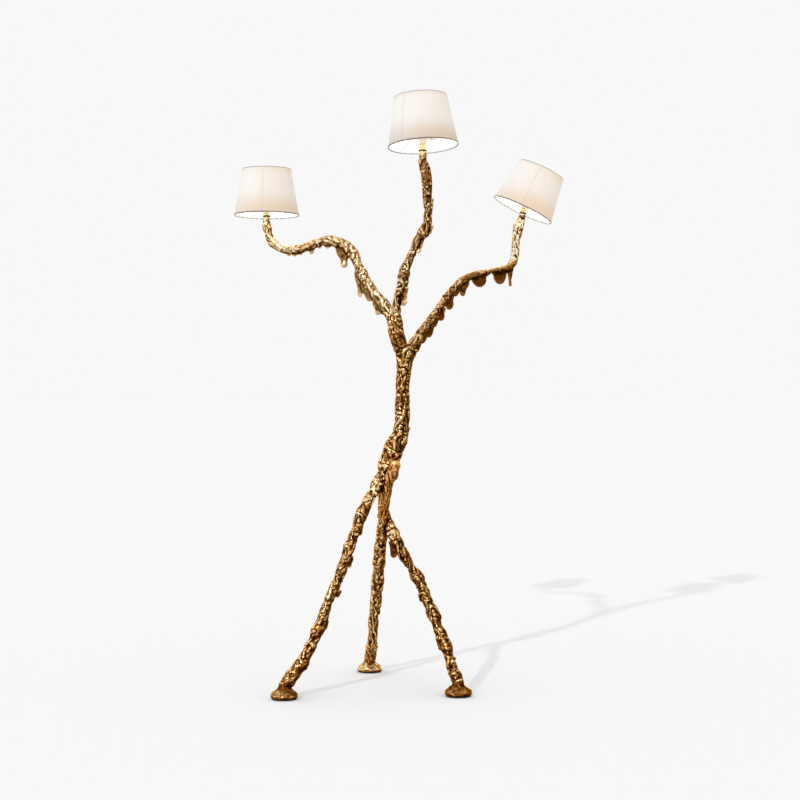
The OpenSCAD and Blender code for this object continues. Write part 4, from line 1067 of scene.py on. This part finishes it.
def liningMaterial(look=liningLook):
    # white backing inside the shade, lit by the bulb, with a faint show of the threads
    made, tree, shader = material("shadeLining")
    uv = weavePlace(tree)
    edge = attributeValue(tree, "edge")
    tone = ramp(tree, noise(tree, 1, uv, 4, 0.6, (300, 300, 1)), look["tone"])
    glow = arithmetic(tree, "SUBTRACT", attributeValue(tree, "glow"), edge)
    feed(tree, shader, {"Base Color": blendColour(tree, edge, tone, linenLook["edge"]),
                        "Roughness": 0.7, "Emission Color": ramp(tree, glow, look["glow"]),
                        "Emission Strength": look["strength"],
                        "Normal": bump(tree, noise(tree, 1, uv, 2, 0.5, (500, 500, 1)),
                                       0.0001, 0.2)})
    return made


def glowingMaterial(name, colour, light, strength, transmission, roughness):
    made, tree, shader = material(name)
    cloud = noise(tree, 60, objectPlace(tree), 2, 0.5)
    darker = tuple(0.93 * c for c in colour)
    feed(tree, shader, {"Base Color": ramp(tree, cloud, [(0.2, darker), (0.8, colour)]),
                        "Roughness": roughness, "Transmission Weight": transmission,
                        "Emission Color": light, "Emission Strength": strength})
    return made


def dress(made, things):
    for thing in things:
        thing = nodes[thing] if isinstance(thing, str) else thing
        thing.data.materials.clear()
        thing.data.materials.append(made)


def everySide(*stems):
    return [f"{stem}_{side}" for stem in stems for side in sides]


linen, lining = linenMaterial(), liningMaterial()
for piece in shades:
    piece.data.materials.append(linen)
    piece.data.materials.append(lining)

dress(bronzeMaterial(), bronzePieces)
dress(plainFinish("metal", "turnedBrass", (0.88, 0.7, 0.36), 0.24, 0.1, brushed=(1, 1, 14)),
      turned["neck"] + ["cable_gland", "earth_screw"] + everySide("holder_contacts", "shade_pins"))
dress(plainFinish("metal", "darkCollar", (0.2, 0.115, 0.05), 0.42, 0.25), turned["collar"])
dress(plainFinish("plastic", "creamHolder", (0.86, 0.78, 0.62), 0.36, 0.04, 0.25),
      turned["holder"] + turned["ring"])
dress(plainFinish("metal", "zincPlate", (0.68, 0.67, 0.64), 0.36, 0.12),
      ["socket_screws", "tip_nipples"] + everySide("shade_fitter"))
dress(plainFinish("metal", "nickelCap", (0.8, 0.78, 0.74), 0.22, 0.1), everySide("bulb_cap"))
dress(plainFinish("plastic", "whiteWirePaint", (0.84, 0.83, 0.8), 0.42, 0.03, 0.1),
      everySide("shade_frame", "shade_rings"))
dress(plainFinish("plastic", "darkFelt", (0.035, 0.026, 0.02), 0.95, 0.2),
      ["foot_pad_rear", "foot_pad_left", "foot_pad_right"])
dress(plainFinish("plastic", "terminalBlock", (0.86, 0.85, 0.8), 0.4, 0.04), ["terminal_block"])
dress(plainFinish("plastic", "leadInsulation", (0.62, 0.5, 0.36), 0.5, 0.08),
      ["supply_lead"] + everySide("lamp_lead"))
dress(glowingMaterial("litGlass", (1.0, 0.96, 0.88), (1.0, 0.86, 0.66), 1.5, 0.35, 0.35),
      turned["glass"])
dress(glowingMaterial("litRods", (1.0, 0.8, 0.5), (1.0, 0.7, 0.35), 4.0, 0.0, 0.5),
      everySide("bulb_filament"))
print("materials set")

# Floor, backdrop and light
studio = {"background": 0.939, "world": 0.89, "sun": 0.75, "sunTurn": (61.3, 0, -25.3),
          "sunSoft": 1.2, "bulbPower": 0.2, "bulbColour": (1.0, 0.91, 0.8), "bulbRadius": 0.024,
          "floorReach": 300.0, "floorLevel": -0.0003}


def makeFloor(look):
    reach, level = look["floorReach"], look["floorLevel"]
    corners = [(-reach, -reach), (reach, -reach), (reach, reach), (-reach, reach)]
    piece = meshObject("floor", [(x, y, level) for x, y in corners], [[0, 1, 2, 3]], soft=False)
    made, tree, shader = material("paleFloor")
    feed(tree, shader, {"Base Color": (look["background"],) * 3, "Roughness": 1.0,
                        "Specular IOR Level": 0.0})
    piece.data.materials.append(made)


def makeWorld(look):
    # the same pale backdrop for the eye, for reflections and through glass; softer for lighting
    world = bpy.data.worlds.new("studio")
    bpy.context.scene.world = world
    world.use_nodes = True
    tree = world.node_tree
    ray = addNode(tree, "LightPath", {}).outputs
    seen = arithmetic(tree, "MAXIMUM", ray["Is Camera Ray"], arithmetic(
        tree, "MAXIMUM", ray["Is Glossy Ray"], ray["Is Transmission Ray"]))
    level = addNode(tree, "MapRange", {"Value": seen, "To Min": look["world"],
                                       "To Max": look["background"]})
    feed(tree, tree.nodes["Background"], {"Color": (1.0, 1.0, 1.0),
                                          "Strength": level.outputs["Result"]})


def makeLights(look):
    data = bpy.data.lights.new("keyLight", "SUN")
    data.energy, data.angle = look["sun"], np.radians(look["sunSoft"])
    addObject("keyLight", data).rotation_euler = np.radians(look["sunTurn"])
    for side in sides:
        data = bpy.data.lights.new("bulbLight_" + side, "POINT")
        data.energy, data.color = look["bulbPower"], look["bulbColour"]
        data.shadow_soft_size = look["bulbRadius"]
        addObject("bulbLight_" + side, data).location = bulbMiddle(side) / 1000


makeFloor(studio)
makeWorld(studio)
makeLights(studio)
bpy.context.scene.view_settings.view_transform = "Standard"
print("studio lit")
